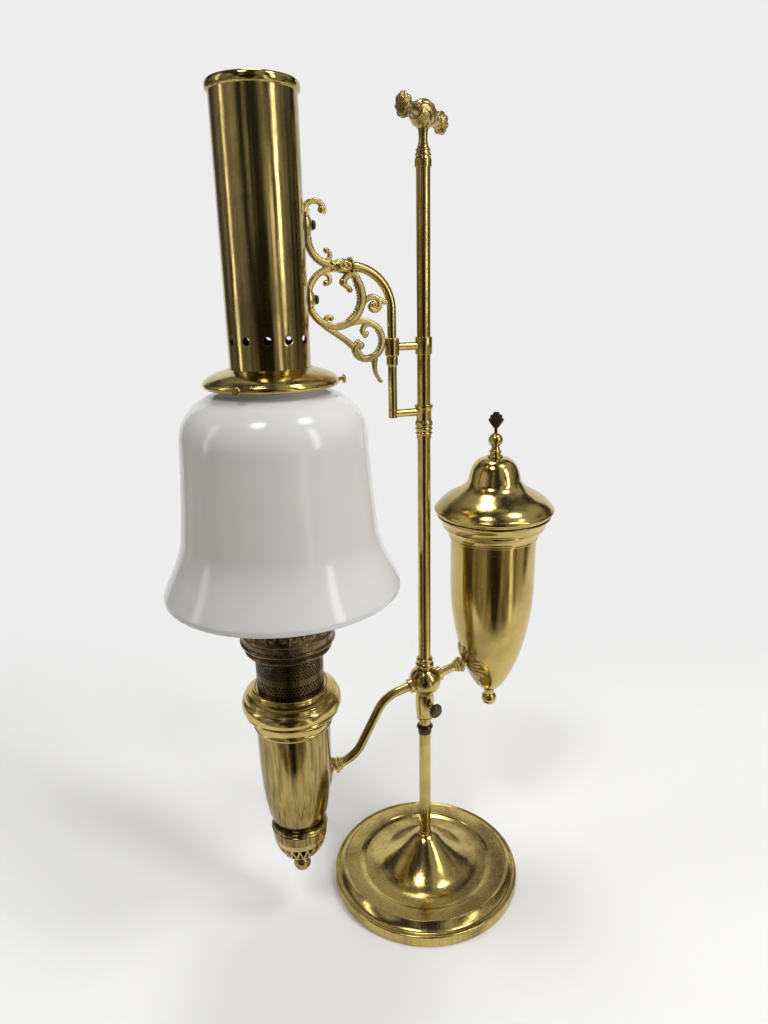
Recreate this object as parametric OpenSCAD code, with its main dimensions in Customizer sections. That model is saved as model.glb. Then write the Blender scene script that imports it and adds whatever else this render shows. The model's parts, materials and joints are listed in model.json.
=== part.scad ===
// Brass student lamp: a weighted stand with one rod, a sliding hub that feeds an
// annular-wick burner from a lift-out oil fount, and a sliding scroll bracket
// that hangs a metal chimney stack and an opal glass shade over the burner.
// Origin: middle of the foot on the table. +Z up, burner towards -X, fount towards +X.

/* [Base] */
// Outer diameter of the base
base_d = 155; // [150:1:172]
// Height of the upright foot edge
foot_h = 7.4; // [6:0.2:8.4]
// Radius of the small bead on the foot edge
bead_r = 1.3; // [1.1:0.1:1.8]
// Diameter of the sharp crest inside the cove
crest_d = 134; // [130:1:138]
// Height of that crest
crest_z = 15; // [14:0.2:18]
// Width of the flat band inside the crest
band_w = 11; // [8:0.5:13]
// Height of the base where the rod leaves it
base_top_z = 42; // [38:1:52]
// Sheet thickness of the spun base
base_wall = 1; // [0.8:0.1:1.2]
// Thickness of the felt under the base
felt_t = 1.5; // [1:0.1:2.5]
// Thickness of the ballast plate above the felt
ballast_t = 7; // [6:0.2:8]

/* [Rod] */
// Diameter of the rod
rod_d = 9.5; // [9:0.1:10.5]
// Height of the rod's top end
rod_top_z = 564; // [555:1:600]
// Height of the stop collar's top face
stop_top_z = 147.7; // [136:0.1:148]
// Length of the stop collar
stop_h = 8.2; // [7:0.2:12]
// Diameter of the stop collar
stop_d = 13.2; // [12.6:0.1:15]

/* [Top handle] */
// Height of the ringed ferrule above the rod's end
ferrule_h = 8; // [7:0.5:12]
// Diameter of that ferrule
ferrule_d = 11.2; // [11:0.1:13]
// Height of the stem between ferrule and cross handle
handle_stem_h = 9; // [7:0.5:14]
// Diameter of the stem
handle_stem_d = 6.6; // [5.6:0.1:8]
// Length of the cross handle over its end knobs
handle_l = 68; // [60:1:76]
// Diameter of the end knobs
handle_knob_d = 16; // [13:0.2:18]
// Diameter of the swell in the middle
handle_swell_d = 17; // [15:0.2:20]
// Diameter of the necks beside the swell
handle_neck_d = 8; // [6:0.2:9]
// Turn of the handle about the rod
handle_turn = 42; // [20:1:60]

/* [Hub] */
// Height of the hub ball's middle
hub_z = 187.5; // [187:0.5:200]
// Diameter of the hub ball
hub_ball_d = 25.4; // [24.4:0.2:28]
// Diameter of the ring above the ball
gland_d = 14.6; // [14:0.2:16]
// Height of that ring
gland_h = 9.2; // [7:0.2:11]
// Length of the neck under the ball
neck_h = 21.6; // [19:0.2:22]
// Largest diameter of that neck
neck_d = 14.4; // [14:0.2:16]
// Wall of the sleeve that runs on the rod
sleeve_wall = 0.95; // [0.8:0.05:1.1]
// Fall of the feed line, from fount to burner
feed_tilt = 12; // [9:1:14]
// Diameter of the feed tubes
feed_d = 7; // [6.4:0.1:7.6]
// Bore of the feed tubes
feed_bore = 5; // [4:0.1:5.4]
// Steepest slope of the burner's feed tube
feed_steep = 61; // [56:1:66]
// Bend radius of that tube
feed_bend_r = 25; // [18:1:27]
// Diameter of the clamp screw's head
clamp_head_d = 11.4; // [9:0.2:13]
// Thickness of the clamp screw's head
clamp_head_t = 4; // [3:0.2:6]
// Diameter of the clamp screw's shank
clamp_shank_d = 3.8; // [3:0.1:4.4]
// Direction of the clamp screw about the rod
clamp_turn = -75; // [-105:1:-65]

/* [Burner] */
// Distance of the burner from the rod
burner_reach = 108; // [107:0.5:112]
// Fall from the hub's middle to the burner body's lower edge
burner_drop = 94; // [92:0.5:96]
// Height of the burner body up to the collar
body_h = 84.5; // [82:0.5:87]
// Diameter of the body at its lower edge
body_low_d = 41; // [39.4:0.2:43]
// Diameter of the body under the collar
body_top_d = 54.4; // [52:0.2:55.4]
// Sheet thickness of the burner's and fount's shells
sheet = 0.9; // [0.7:0.05:1]
// Height of the feed tube's entry above the body's lower edge
entry_h = 35.8; // [34:0.1:38]
// Height of the collar
collar_h = 32; // [31:0.5:35]
// Largest diameter of the collar
collar_d = 72.6; // [70:0.2:75]
// Diameter of the perforated basket
basket_d = 48.8; // [47:0.2:50]
// Height of the basket from the collar to the gallery's floor
basket_h = 47; // [45:0.5:49]
// Air openings round the basket
basket_columns = 18; // [14:1:20]
// Height of the gallery above its floor
gallery_h = 20; // [17:0.5:24]
// Diameter of the gallery's mouth
gallery_d = 60; // [58:0.2:62]
// Diameter of the gallery's flange
flange_d = 68; // [66:0.2:71]
// Diameter of the central air tube
air_tube_d = 18.8; // [17:0.2:19.4]
// Thickness of the tubular wick
wick_t = 2.5; // [2:0.1:2.8]
// Room on each side of the wick
wick_room = 0.35; // [0.3:0.05:0.5]
// How far the wick tube stands above the gallery's floor
wick_tube_up = 7; // [5:0.5:12]

/* [Drip cup] */
// Largest diameter of the drip cup
cup_d = 43.4; // [42.6:0.2:47]
// Depth of the smooth part of the cup
cup_h = 11; // [10.8:0.2:13]
// Depth of the pierced border under it
grille_h = 21; // [18:0.5:23]
// Openings in each row of the pierced border
grille_holes = 16; // [12:1:18]
// Diameter of the ball under the cup
cup_ball_d = 13.4; // [10:0.2:15]

/* [Glass] */
// Diameter of the glass chimney's foot
chimney_foot_d = 44; // [42:0.5:46]
// Height of the chimney's wide foot
chimney_foot_h = 50; // [40:1:60]
// Diameter of the chimney's upper tube
chimney_d = 34; // [30:0.5:36]
// Length of the chimney
chimney_l = 188; // [180:1:196]
// Thickness of the chimney glass
chimney_glass = 1.6; // [1.2:0.1:2.2]
// Diameter of the shade's flared rim
shade_d = 162.6; // [156:0.5:170]
// Diameter of the shade where the flare begins
shade_waist_d = 133.2; // [129:0.2:137]
// Diameter of the shade's shoulder
shade_shoulder_d = 123; // [118:0.5:128]
// Diameter of the shade's neck
shade_neck_d = 69; // [66:0.5:71]
// Height of the shade from its rim to the screws
shade_h = 142; // [136:1:148]
// Thickness of the shade glass
shade_glass = 3; // [2.4:0.2:3.6]

/* [Fount] */
// Distance of the fount from the rod
fount_reach = 59; // [58.5:0.5:63]
// Height of the hub's middle above the fount's tip
fount_drop_h = 21.5; // [20:0.5:23]
// Height of the fount's shell up to the cornice
fount_h = 134; // [130:0.5:140]
// Diameter of the fount's shell
fount_d = 66; // [64:0.2:67]
// Height of the cornice
cornice_h = 18; // [17:0.2:21]
// Diameter of the mouth
mouth_d = 87; // [84:0.2:89]
// Diameter of the drop under the fount
drop_d = 12.4; // [10:0.2:14]
// Diameter of the lid
lid_d = 91.2; // [90:0.2:93]
// Height of the lid
lid_h = 44.2; // [41:0.2:50]
// Diameter of the lid's bell
bell_d = 40; // [36:0.2:44]
// Diameter of the lift-out tank
tank_d = 58; // [54:0.2:59]
// Length of the tank's round wall
tank_l = 78; // [70:0.5:79]
// Diameter of the tank's mouth
tank_mouth_d = 16; // [14:0.2:18]
// Diameter of the lid's knob
knob_d = 11; // [9:0.2:12]
// Height of the stem under the knob
knob_stem_h = 8; // [7:0.2:11]
// Height of the leaf on the knob
leaf_h = 16; // [12:0.5:20]

/* [Bracket] */
// Height of the bracket's upper arm
bracket_z = 447; // [446:0.5:458]
// Distance between the bracket's two arms
bracket_span = 45.5; // [42:0.5:50]
// Distance of the bracket's post from the rod
post_reach = 23.6; // [23:0.2:26]
// Diameter of the bracket's arms
arm_d = 5.5; // [5:0.1:6.4]
// Diameter of the socket tube
socket_d = 6.2; // [6:0.1:7.4]
// Diameter of the spigot that turns in it
spigot_d = 4.2; // [3.6:0.1:4.6]
// Diameter of the swinging arm's tube
swing_d = 6.2; // [5.6:0.1:7]
// Length of the collars on rod and post
bracket_collar_h = 12; // [10:0.2:14]
// Wall of the collars round the rod
bracket_collar_wall = 1.2; // [1:0.1:1.8]
// Length of the rest collar under the bracket
rest_h = 9; // [7:0.5:12]
// Rise of the swinging arm's bend above the bracket's upper arm
bend_rise = 24; // [22:0.5:28]
// Radius of that bend
bend_r = 28; // [27:0.2:29]
// Thickness of the scrolls
scroll_t = 3.8; // [3.2:0.1:4.4]

/* [Stack and canopy] */
// Diameter of the stack
stack_d = 51.8; // [51:0.2:53]
// Length of the stack
stack_l = 164; // [152:1:176]
// Diameter of the rolled rim on top
stack_rim_d = 55.2; // [54.6:0.1:58]
// Height of that rim
stack_rim_h = 6; // [5:0.5:9]
// Number of air holes near the foot
stack_holes = 12; // [8:1:14]
// Diameter of those holes
stack_hole_d = 5; // [3:0.2:6]
// Fall from the bracket's upper arm to the stack's foot
stack_drop = 11; // [9:0.5:13]
// Diameter of the canopy over the shade
canopy_d = 87.6; // [86:0.2:92]
// Height of the canopy above its screws
canopy_h = 9.4; // [9:0.2:11]
// Diameter of the shade screws' heads
shade_screw_head_d = 5.8; // [4.6:0.2:7]

/* [Clearances] */
// Radial clearance of what turns or slides
run_fit = 0.05; // [0.03:0.01:0.08]
// Gap between pieces that rest against each other and move apart
seat_gap = 0.3; // [0.25:0.05:0.4]
// Gap between fixed pieces that are slipped together
slip_gap = 0.1; // [0.06:0.01:0.14]

/* [Hidden] */
$fn = 96;

brass = "#b8923c";
dark_brass = "#6b5526";
iron = "#4a4a48";
opal = "#f2f0ee";
clear_glass = "#cfe0e4";

// Points along a circular arc
function arc(c, r, a0, a1, n = 8) =
    [for (i = [0:n]) let (a = a0 + (a1 - a0) * i / n) c + r * [cos(a), sin(a)]];

// Points along a cubic curve
function curve(a, b, c, d, n = 10) =
    [for (i = [0:n]) let (t = i / n, u = 1 - t)
        a * u * u * u + b * 3 * u * u * t + c * 3 * u * t * t + d * t * t * t];

// Points along a spiral that opens or closes steadily
function spiral(c, r0, r1, a0, a1, n) =
    [for (i = [0:n]) let (t = i / n, a = a0 + (a1 - a0) * t, r = r0 + (r1 - r0) * t)
        c + r * [cos(a), sin(a)]];

function flip(p) = [for (i = [len(p) - 1:-1:0]) p[i]];

// The same outline, moved inwards by a wall's thickness
function inset(p, t) = let (m = len(p) - 1)
    [for (i = [0:m]) let (d = p[min(i + 1, m)] - p[max(i - 1, 0)])
        p[i] + t * [-d[1], d[0]] / norm(d)];

// A turned piece from its half section
module turned(section) {
    rotate_extrude() polygon(section);
}

// A thin turned shell between an outer and an inner profile, both from below upwards
module shell(outer, inner) {
    turned(concat(outer, flip(inner)));
}

module ring(outer_r, inner_r, z0, z1) {
    rotate_extrude() translate([inner_r, z0]) square([outer_r - inner_r, z1 - z0]);
}

// Bars run a little way into the bends they join, and are a trace thicker
lap = 0.3;
bar_step = 0.1;

// A round bar between two points of the lamp's middle plane, a little over length
module bar(p, q, d, over = lap) {
    v = q - p;
    u = v / norm(v);
    s = p - u * over;
    translate([s[0], 0, s[1]]) rotate([0, 90 - atan2(v[1], v[0]), 0])
        cylinder(h = norm(v) + 2 * over, d = d);
}

// A round bend in the lamp's middle plane
module bend(c, r, a0, a1, d) {
    translate([c[0], 0, c[1]]) rotate([90, 0, 0]) rotate(a0)
        rotate_extrude(angle = a1 - a0) translate([r, 0]) circle(d = d, $fn = 48);
}

// A tapering round strand through points of the lamp's middle plane
module strand(p, r0, r1) {
    sides = 8;
    m = len(p) - 1;
    rings = [for (i = [0:m])
        let (d = p[min(i + 1, m)] - p[max(i - 1, 0)], n = [-d[1], d[0]] / norm(d),
             r = r0 + (r1 - r0) * i / m)
        [for (k = [0:sides - 1]) let (a = 360 * (k + 0.5) / sides)
            [p[i][0] + n[0] * r * cos(a), r * sin(a), p[i][1] + n[1] * r * cos(a)]]];
    points = [for (one = rings) each one];
    walls = [for (i = [0:m - 1]) for (k = [0:sides - 1])
        let (a = i * sides + k, b = i * sides + (k + 1) % sides)
        each [[a, b, a + sides], [b, b + sides, a + sides]]];
    first = [for (k = [sides - 1:-1:0]) k];
    last = [for (k = [0:sides - 1]) m * sides + k];
    polyhedron(points, concat(walls, [first], [last]));
}

module at_burner() {
    translate([-burner_reach, 0, 0]) children();
}

module at_fount() {
    translate([fount_reach, 0, 0]) children();
}

// Stand

rod_r = rod_d / 2;
base_r = base_d / 2;
crest_r = crest_d / 2;
band_r = crest_r - band_w;
valley_r = band_r - 4;
valley_z = crest_z - 2.6;
shoulder_r = rod_r + 4.8;

base_profile = concat(
    [[base_r - 0.6, 0.3], [base_r, 0.9], [base_r, foot_h - 0.4]],
    arc([base_r - bead_r, foot_h + bead_r * 0.7], bead_r, -20, 120, 6),
    curve([base_r - bead_r * 1.9, foot_h + bead_r * 1.3], [base_r - 4.6, foot_h + 0.6],
          [crest_r + 2.6, crest_z - 4.6], [crest_r + 0.2, crest_z - 0.1], 9),
    [[crest_r - 0.6, crest_z], [band_r, crest_z - 0.4], [band_r - 1, crest_z - 1.4]],
    curve([valley_r, valley_z], [valley_r - 18, valley_z + 1.8], [shoulder_r + 2.6, base_top_z - 22],
          [shoulder_r, base_top_z - 6], 16),
    arc([shoulder_r - 4.4, base_top_z - 4.4], 4.4, 6, 76, 6),
    [[rod_r + slip_gap, base_top_z]]);

module base_shell() {
    color(brass) shell(base_profile, inset(base_profile, base_wall));
}

nut_h = 6;
nut_d = rod_d * 1.8;
recess_r = nut_d / 2 + 1.5;
recess_z = felt_t + 0.4 + nut_h;
weight_r = band_r + 6;
weight_top_z = felt_t + ballast_t;

module base_weight() {
    color(iron) turned([
        [recess_r, felt_t], [weight_r, felt_t], [weight_r, weight_top_z],
        [valley_r * 0.5, weight_top_z], [recess_r + 1, weight_top_z + 7],
        [rod_r + slip_gap, weight_top_z + 7], [rod_r + slip_gap, recess_z], [recess_r, recess_z]]);
}

module base_felt() {
    color("#3d5a3a") cylinder(h = felt_t, r = crest_r + 3);
}

module base_nut() {
    color(brass) translate([0, 0, recess_z - nut_h]) difference() {
        cylinder(h = nut_h, d = nut_d, $fn = 6);
        translate([0, 0, -1]) cylinder(h = nut_h + 2, r = rod_r + slip_gap);
    }
}

module rod() {
    color(brass) translate([0, 0, felt_t + 0.6]) cylinder(h = rod_top_z - felt_t - 0.6, r = rod_r);
}

module stop_collar() {
    z = stop_top_z - stop_h;
    r = stop_d / 2;
    color(dark_brass) turned(concat(
        [[rod_r + slip_gap, z], [rod_r + 0.6, z], [r - 1, z + stop_h * 0.5]],
        arc([r - 1.1, z + stop_h - 2.4], 1.1, -50, 60, 6),
        [[r - 1, stop_top_z - 0.6], [r - 1.2, stop_top_z], [rod_r + slip_gap, stop_top_z]]));
}

stem_r = handle_stem_d / 2;
stem_z = rod_top_z + ferrule_h;
handle_z = stem_z + handle_stem_h + handle_swell_d / 2;

module rod_ferrule() {
    r = ferrule_d / 2;
    color(brass) turned(concat(
        [[0, rod_top_z], [rod_r + slip_gap, rod_top_z], [rod_r + slip_gap, rod_top_z - 5],
         [r - 0.2, rod_top_z - 5], [r, rod_top_z - 4.6], [r, rod_top_z - 0.4]],
        arc([r - 1.4, rod_top_z + ferrule_h * 0.28], 1.2, -60, 60, 5),
        arc([r - 1.7, rod_top_z + ferrule_h * 0.62], 1, -60, 60, 5),
        [[stem_r + 0.4, rod_top_z + ferrule_h * 0.86], [stem_r + 0.2, stem_z], [0, stem_z]]));
}

// Half of the turned cross handle, from its middle to one end
handle_half = concat(
    curve([handle_swell_d / 2, 0], [handle_swell_d / 2, 5.4], [handle_neck_d / 2 + 2, 8],
          [handle_neck_d / 2, 10.6], 7),
    [[handle_neck_d / 2 + 1.2, 11.4], [handle_neck_d / 2 + 1.2, 13], [handle_neck_d / 2, 13.8],
     [handle_neck_d / 2 - 0.4, handle_l / 2 - 10.4]],
    arc([handle_knob_d / 2 - 4, handle_l / 2 - 4.6], 4, -70, 70, 8),
    [[handle_knob_d / 2 - 4.4, handle_l / 2]]);
handle_other = [for (p = flip(handle_half)) [p[0], -p[1]]];

module top_finial() {
    color(brass) union() {
        turned([[0, stem_z], [stem_r, stem_z], [stem_r - 0.5, stem_z + handle_stem_h * 0.5],
                [stem_r + 0.6, stem_z + handle_stem_h], [stem_r + 0.6, handle_z], [0, handle_z]]);
        translate([0, 0, handle_z]) rotate(handle_turn) rotate([0, 90, 0])
            turned(concat([[0, -handle_l / 2]], handle_other,
                          [for (i = [1:len(handle_half) - 1]) handle_half[i]],
                          [[0, handle_l / 2]]));
    }
}

// Hub

hub_r = hub_ball_d / 2;
sleeve_r = rod_r + run_fit + sleeve_wall;
hub_bore_r = sleeve_r + run_fit;
gland_r = gland_d / 2;
ball_top_z = hub_z + sqrt(hub_r * hub_r - (gland_r - 0.2) * (gland_r - 0.2));
gland_z = ball_top_z + seat_gap;
gland_top_z = gland_z + gland_h;
waist_r = hub_bore_r + 1;
waist_z = hub_z - sqrt(hub_r * hub_r - waist_r * waist_r);
neck_low_z = waist_z - neck_h;
lip_h = 2;
lip_z = neck_low_z - seat_gap - lip_h;
clamp_z = waist_z - neck_h * 0.52;
clamp_boss_l = neck_d / 2 + 4.2;
feed_seat = hub_r - 3.2;
feed_boss_r = feed_d / 2 + 2.2;

module hub_bush() {
    color(brass) turned(concat(
        [[rod_r + run_fit, lip_z], [sleeve_r, lip_z], [sleeve_r, gland_z], [gland_r - 1.1, gland_z]],
        arc([gland_r - 2.4, gland_z + gland_h * 0.36], 2.4, -50, 40, 7),
        [[gland_r - 1.4, gland_z + gland_h * 0.62], [gland_r - 0.8, gland_z + gland_h * 0.7],
         [gland_r - 0.8, gland_top_z - 0.8], [gland_r - 1.6, gland_top_z],
         [rod_r + run_fit, gland_top_z]]));
}

module hub_lip() {
    color(brass) turned([
        [sleeve_r + slip_gap, lip_z], [sleeve_r + 0.5, lip_z], [sleeve_r + 0.7, lip_z + 0.4],
                         [sleeve_r + 0.7, lip_z + lip_h], [sleeve_r + slip_gap, lip_z + lip_h]]);
}

// Along the feed line through the hub, +Z towards the fount
module along_feed() {
    translate([0, 0, hub_z]) rotate([0, 90 - feed_tilt, 0]) children();
}

// Along the clamp screw, +Z pointing outwards
module along_clamp() {
    translate([0, 0, clamp_z]) rotate([0, 90, clamp_turn]) children();
}

module hub_body() {
    color(brass) difference() {
        union() {
            intersection() {
                translate([0, 0, hub_z]) sphere(r = hub_r);
                translate([0, 0, waist_z - 0.5]) cylinder(h = ball_top_z - waist_z + 0.5, r = hub_r + 1);
            }
            turned(concat([[hub_bore_r - 0.6, neck_low_z], [hub_bore_r + 0.6, neck_low_z]],
                curve([hub_bore_r + 0.8, neck_low_z + 0.6], [neck_d / 2, neck_low_z + neck_h * 0.2],
                      [neck_d / 2 + 0.6, neck_low_z + neck_h * 0.8], [waist_r, waist_z], 10),
                [[waist_r, waist_z + 0.6], [hub_bore_r - 0.6, waist_z + 0.6]]));
            along_clamp() translate([0, 0, hub_bore_r - 0.6])
                cylinder(h = clamp_boss_l - hub_bore_r + 0.6, r = clamp_shank_d / 2 + 1.5);
            along_feed() for (side = [0, 180]) rotate([side, 0, 0])
                translate([0, 0, hub_r - 3]) cylinder(h = 4.6, r = feed_boss_r);
        }
        translate([0, 0, neck_low_z - 1]) cylinder(h = 4 * hub_ball_d, r = hub_bore_r);
        along_clamp() cylinder(h = 2 * hub_ball_d, r = clamp_shank_d / 2 + run_fit);
        along_feed() for (side = [0, 180]) rotate([side, 0, 0]) {
            cylinder(h = hub_ball_d, d = feed_bore);
            translate([0, 0, feed_seat]) cylinder(h = hub_ball_d, r = feed_d / 2 + slip_gap);
        }
    }
}

module hub_screw() {
    r = clamp_head_d / 2;
    color(iron) along_clamp() turned([
        [0, sleeve_r + seat_gap], [clamp_shank_d / 2, sleeve_r + seat_gap],
        [clamp_shank_d / 2, clamp_boss_l + seat_gap], [r - 0.7, clamp_boss_l + seat_gap],
        [r, clamp_boss_l + seat_gap + 0.7], [r, clamp_boss_l + seat_gap + clamp_head_t - 1],
        [r - 1.2, clamp_boss_l + seat_gap + clamp_head_t],
        [0, clamp_boss_l + seat_gap + clamp_head_t + 0.4]]);
}

// Radius of the burner body at a height above its lower edge
function body_radius(h) = body_low_d / 2
    + (body_top_d - body_low_d) / 2 * (1 - pow(1 - min(h, body_h) / body_h, 2.9));

// The feed line: a straight fall through the hub, then an S down to the burner
body_z = hub_z - burner_drop;
entry_z = body_z + entry_h;
entry_r = body_radius(entry_h);
entry_x = burner_reach - entry_r;
line_drop = hub_z - entry_z - tan(feed_tilt) * entry_x;
steep_run = line_drop / (tan(feed_steep) - tan(feed_tilt));
bend_in_x = (entry_x + hub_r - steep_run) / 2;
bend_out_x = bend_in_x + steep_run;
bend_t = feed_bend_r * tan((feed_steep - feed_tilt) / 2);

function line_in(x) = [-x, hub_z - tan(feed_tilt) * x];
function line_out(x) = [-x, entry_z + tan(feed_tilt) * (entry_x - x)];

module feed_path(d, over = 0) {
    gentle = [-cos(feed_tilt), -sin(feed_tilt)];
    steep = [-cos(feed_steep), -sin(feed_steep)];
    side = [-gentle[1], gentle[0]];
    in_a = line_in(bend_in_x) - bend_t * gentle;
    in_b = line_in(bend_in_x) + bend_t * steep;
    out_a = line_out(bend_out_x) - bend_t * steep;
    out_b = line_out(bend_out_x) + bend_t * gentle;
    bar(gentle * (feed_seat + lap - over) + [0, hub_z], in_a, d + bar_step);
    bend(in_a + feed_bend_r * side, feed_bend_r, 90 + feed_tilt, 90 + feed_steep, d);
    bar(in_b, out_a, d + bar_step);
    bend(out_b - feed_bend_r * side, feed_bend_r, 270 + feed_tilt, 270 + feed_steep, d);
    bar(out_b, line_out(entry_x + 1.2 + over), d + bar_step);
}

module burner_arm() {
    color(brass) difference() {
        feed_path(feed_d);
        feed_path(feed_bore, 3);
    }
}

fount_r = fount_d / 2;
fount_arm_l = (fount_reach - fount_r * 0.64) / cos(feed_tilt);
ferrule_l = 7;
fount_ferrule_l = (fount_reach - fount_r * 0.8) / cos(feed_tilt);

module fount_arm() {
    color(brass) along_feed() ring(feed_d / 2, feed_bore / 2, feed_seat, fount_arm_l);
}

// A ringed ferrule round a feed tube, its wide end at the origin
module feed_ferrule() {
    r = feed_d / 2 + slip_gap;
    turned(concat([[r, 0], [r + 2.4, 0]],
        arc([r + 1.6, 1.3], 1.3, -50, 70, 5),
        [[r + 1.4, ferrule_l * 0.5]],
        arc([r + 0.7, ferrule_l * 0.64], 1, -40, 60, 5),
        [[r + 0.5, ferrule_l * 0.84], [r + 0.6, ferrule_l], [r, ferrule_l]]));
}

rosette_t = 2.2;

module burner_arm_ferrule() {
    off = rosette_t + 2;
    color(brass) translate([-entry_x + off, 0, entry_z + tan(feed_tilt) * off])
        rotate([0, 90 - feed_tilt, 0]) feed_ferrule();
}

module fount_arm_ferrule() {
    color(brass) along_feed() translate([0, 0, fount_ferrule_l]) rotate([180, 0, 0]) feed_ferrule();
}

// A lobed leaf: a round fan about the origin that narrows to a point below
function leaf_fan(w, fall, lobes) =
    concat([[0, -fall], [w * 0.16, -fall * 0.62]],
           [for (i = [0:lobes * 6]) let (a = -40 + 260 * i / (lobes * 6))
               w / 2 * (0.9 + 0.1 * cos(360 * i / 6)) * [cos(a), sin(a)]],
           [[-w * 0.16, -fall * 0.62]]);

module feed_bore_at_burner() {
    translate([entry_r, 0, entry_z]) rotate([0, 90 - feed_tilt, 0])
        translate([0, 0, -6]) cylinder(h = 18, d = feed_d + 2 * slip_gap + bar_step / 2);
}

// A cast leaf that hugs the burner body round the feed tube
module burner_rosette() {
    band = [for (i = [0:10]) let (h = entry_h - 31 + 48 * i / 10) [body_radius(h) + slip_gap, body_z + h]];
    color(brass) at_burner() difference() {
        intersection() {
            shell(inset(band, -rosette_t), band);
            translate([0, 0, entry_z + 2]) rotate([90, 0, 90])
                linear_extrude(height = body_top_d) polygon(leaf_fan(23, 31, 7));
        }
        feed_bore_at_burner();
    }
}

fount_z = hub_z - fount_drop_h;
neck_z = fount_z + fount_h;
tip_r = 5;
fount_wall = concat(
    curve([tip_r, fount_z], [tip_r + 11, fount_z + 8], [fount_r - 0.5, fount_z + fount_h * 0.345],
          [fount_r - 0.1, fount_z + fount_h * 0.72], 18),
    [[fount_r, neck_z]]);

module feed_bore_at_fount() {
    translate([-fount_reach, 0, hub_z]) rotate([0, 90 - feed_tilt, 0])
        cylinder(h = fount_reach, d = feed_d + 2 * slip_gap);
}

// A cast fan of leaves that hugs the fount's flank round the feed tube
module fount_rosette() {
    band = [for (p = fount_wall) if (p[1] < hub_z + 40 && p[1] > fount_z + 1) p + [slip_gap, 0]];
    color(brass) at_fount() difference() {
        intersection() {
            shell(inset(band, -rosette_t), band);
            translate([0, 0, hub_z + 8]) rotate([90, 0, -90])
                linear_extrude(height = fount_d) polygon(leaf_fan(35, 27, 8));
        }
        feed_bore_at_fount();
    }
}

// Burner

air_r = air_tube_d / 2;
wick_in_r = air_r + wick_room;
wick_out_r = wick_in_r + wick_t;
wick_tube_r = wick_out_r + wick_room;
collar_z = body_z + body_h;
collar_top_z = collar_z + collar_h;
basket_r = basket_d / 2;
basket_z = collar_top_z + seat_gap;
gallery_z = basket_z + basket_h;
wick_tube_top_z = gallery_z + wick_tube_up;
cup_neck_r = body_low_d / 2 - 2.4;
cup_neck_h = 6.4;

body_profile = concat(
    [[cup_neck_r, body_z - cup_neck_h], [cup_neck_r, body_z - 0.4]],
    [for (i = [0:16]) let (h = (body_h + 5) * i / 16) [body_radius(h), body_z + h]]);

module burner_body() {
    color(brass) at_burner() difference() {
        shell(body_profile, inset(body_profile, sheet));
        feed_bore_at_burner();
    }
}

// The sheet that closes the oil chamber below, soldered between the body and the draught tube
module burner_floor() {
    color(brass) at_burner() ring(cup_neck_r - sheet - slip_gap, air_r + slip_gap, body_z - 2, body_z - 1);
}

skirt_r = body_top_d / 2 + slip_gap + sheet;
collar_r = collar_d / 2;
shelf_z = collar_top_z - 3.6;
ridge_r = basket_r + 2.6;

collar_outer = concat(
    [[skirt_r, collar_z]],
    arc([skirt_r - 0.1, collar_z + 1.9], 1, -60, 60, 5),
    curve([skirt_r + 0.3, collar_z + 4], [skirt_r + 0.6, collar_z + 10], [collar_r - 4.6, collar_z + 12.6],
          [collar_r - 0.8, collar_z + 14], 7),
    [[collar_r, collar_z + 15], [collar_r, collar_z + 21.4]],
    curve([collar_r - 0.1, collar_z + 22.4], [collar_r - 0.4, shelf_z - 3.4],
          [collar_r - 1.4, shelf_z - 0.6], [collar_r - 2.6, shelf_z], 5),
    [[ridge_r + 1.2, shelf_z + 1.4]],
    arc([ridge_r, collar_top_z - 0.6], 1.2, 0, 150, 6),
    [[basket_r - 1.6, collar_top_z]]);
collar_inner = [
    [skirt_r - sheet, collar_z], [skirt_r - sheet + 0.2, collar_z + 8], [collar_r - 4, collar_z + 14.6],
    [collar_r - sheet, collar_z + 16], [collar_r - sheet, collar_z + 21],
    [collar_r - 3, shelf_z - sheet], [basket_r - 1.6, collar_top_z - 1.4]];

module burner_collar() {
    color(brass) at_burner() shell(collar_outer, collar_inner);
}

module draught_tube() {
    color(brass) at_burner() ring(air_r, air_r - 0.8, body_z - cup_neck_h, wick_tube_top_z);
}

deck_z = shelf_z - sheet - slip_gap;

module wick_tube() {
    color(brass) at_burner() ring(wick_tube_r + 0.8, wick_tube_r, body_z + 30, wick_tube_top_z);
}

// The sheet that closes the oil chamber above, soldered round the wick tube
module burner_deck() {
    color(brass) at_burner() ring(collar_r - 3.4, wick_tube_r + 0.8 + slip_gap, deck_z - 1, deck_z);
}

wick_show = 3;
wick_low_z = deck_z - 20;

module wick() {
    color("#e8e0c8") at_burner() ring(wick_out_r, wick_in_r, wick_low_z, wick_tube_top_z + wick_show);
}

module wick_carrier() {
    color(dark_brass) at_burner() ring(wick_out_r + 0.1, wick_in_r - 0.1, wick_low_z - 12, wick_low_z);
}

basket_t = 0.7;
basket_hole = basket_d * PI / basket_columns * 0.66;

module basket_band(z0, rows) {
    for (row = [0:rows - 1]) for (k = [0:basket_columns - 1])
        rotate((k + (row % 2) / 2) * 360 / basket_columns)
            translate([basket_r - 2, 0, z0 + basket_hole * 0.95 * row]) rotate([0, 90, 0])
                cylinder(h = 4, d = basket_hole, $fn = 4);
}

module air_basket() {
    color(dark_brass) at_burner() difference() {
        ring(basket_r, basket_r - basket_t, basket_z, gallery_z);
        basket_band(basket_z + basket_hole * 0.8, 1);
        basket_band(basket_z + basket_h * 0.5, 2);
    }
}

gallery_r = gallery_d / 2;
flange_r = flange_d / 2;
gallery_top_z = gallery_z + gallery_h;

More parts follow.
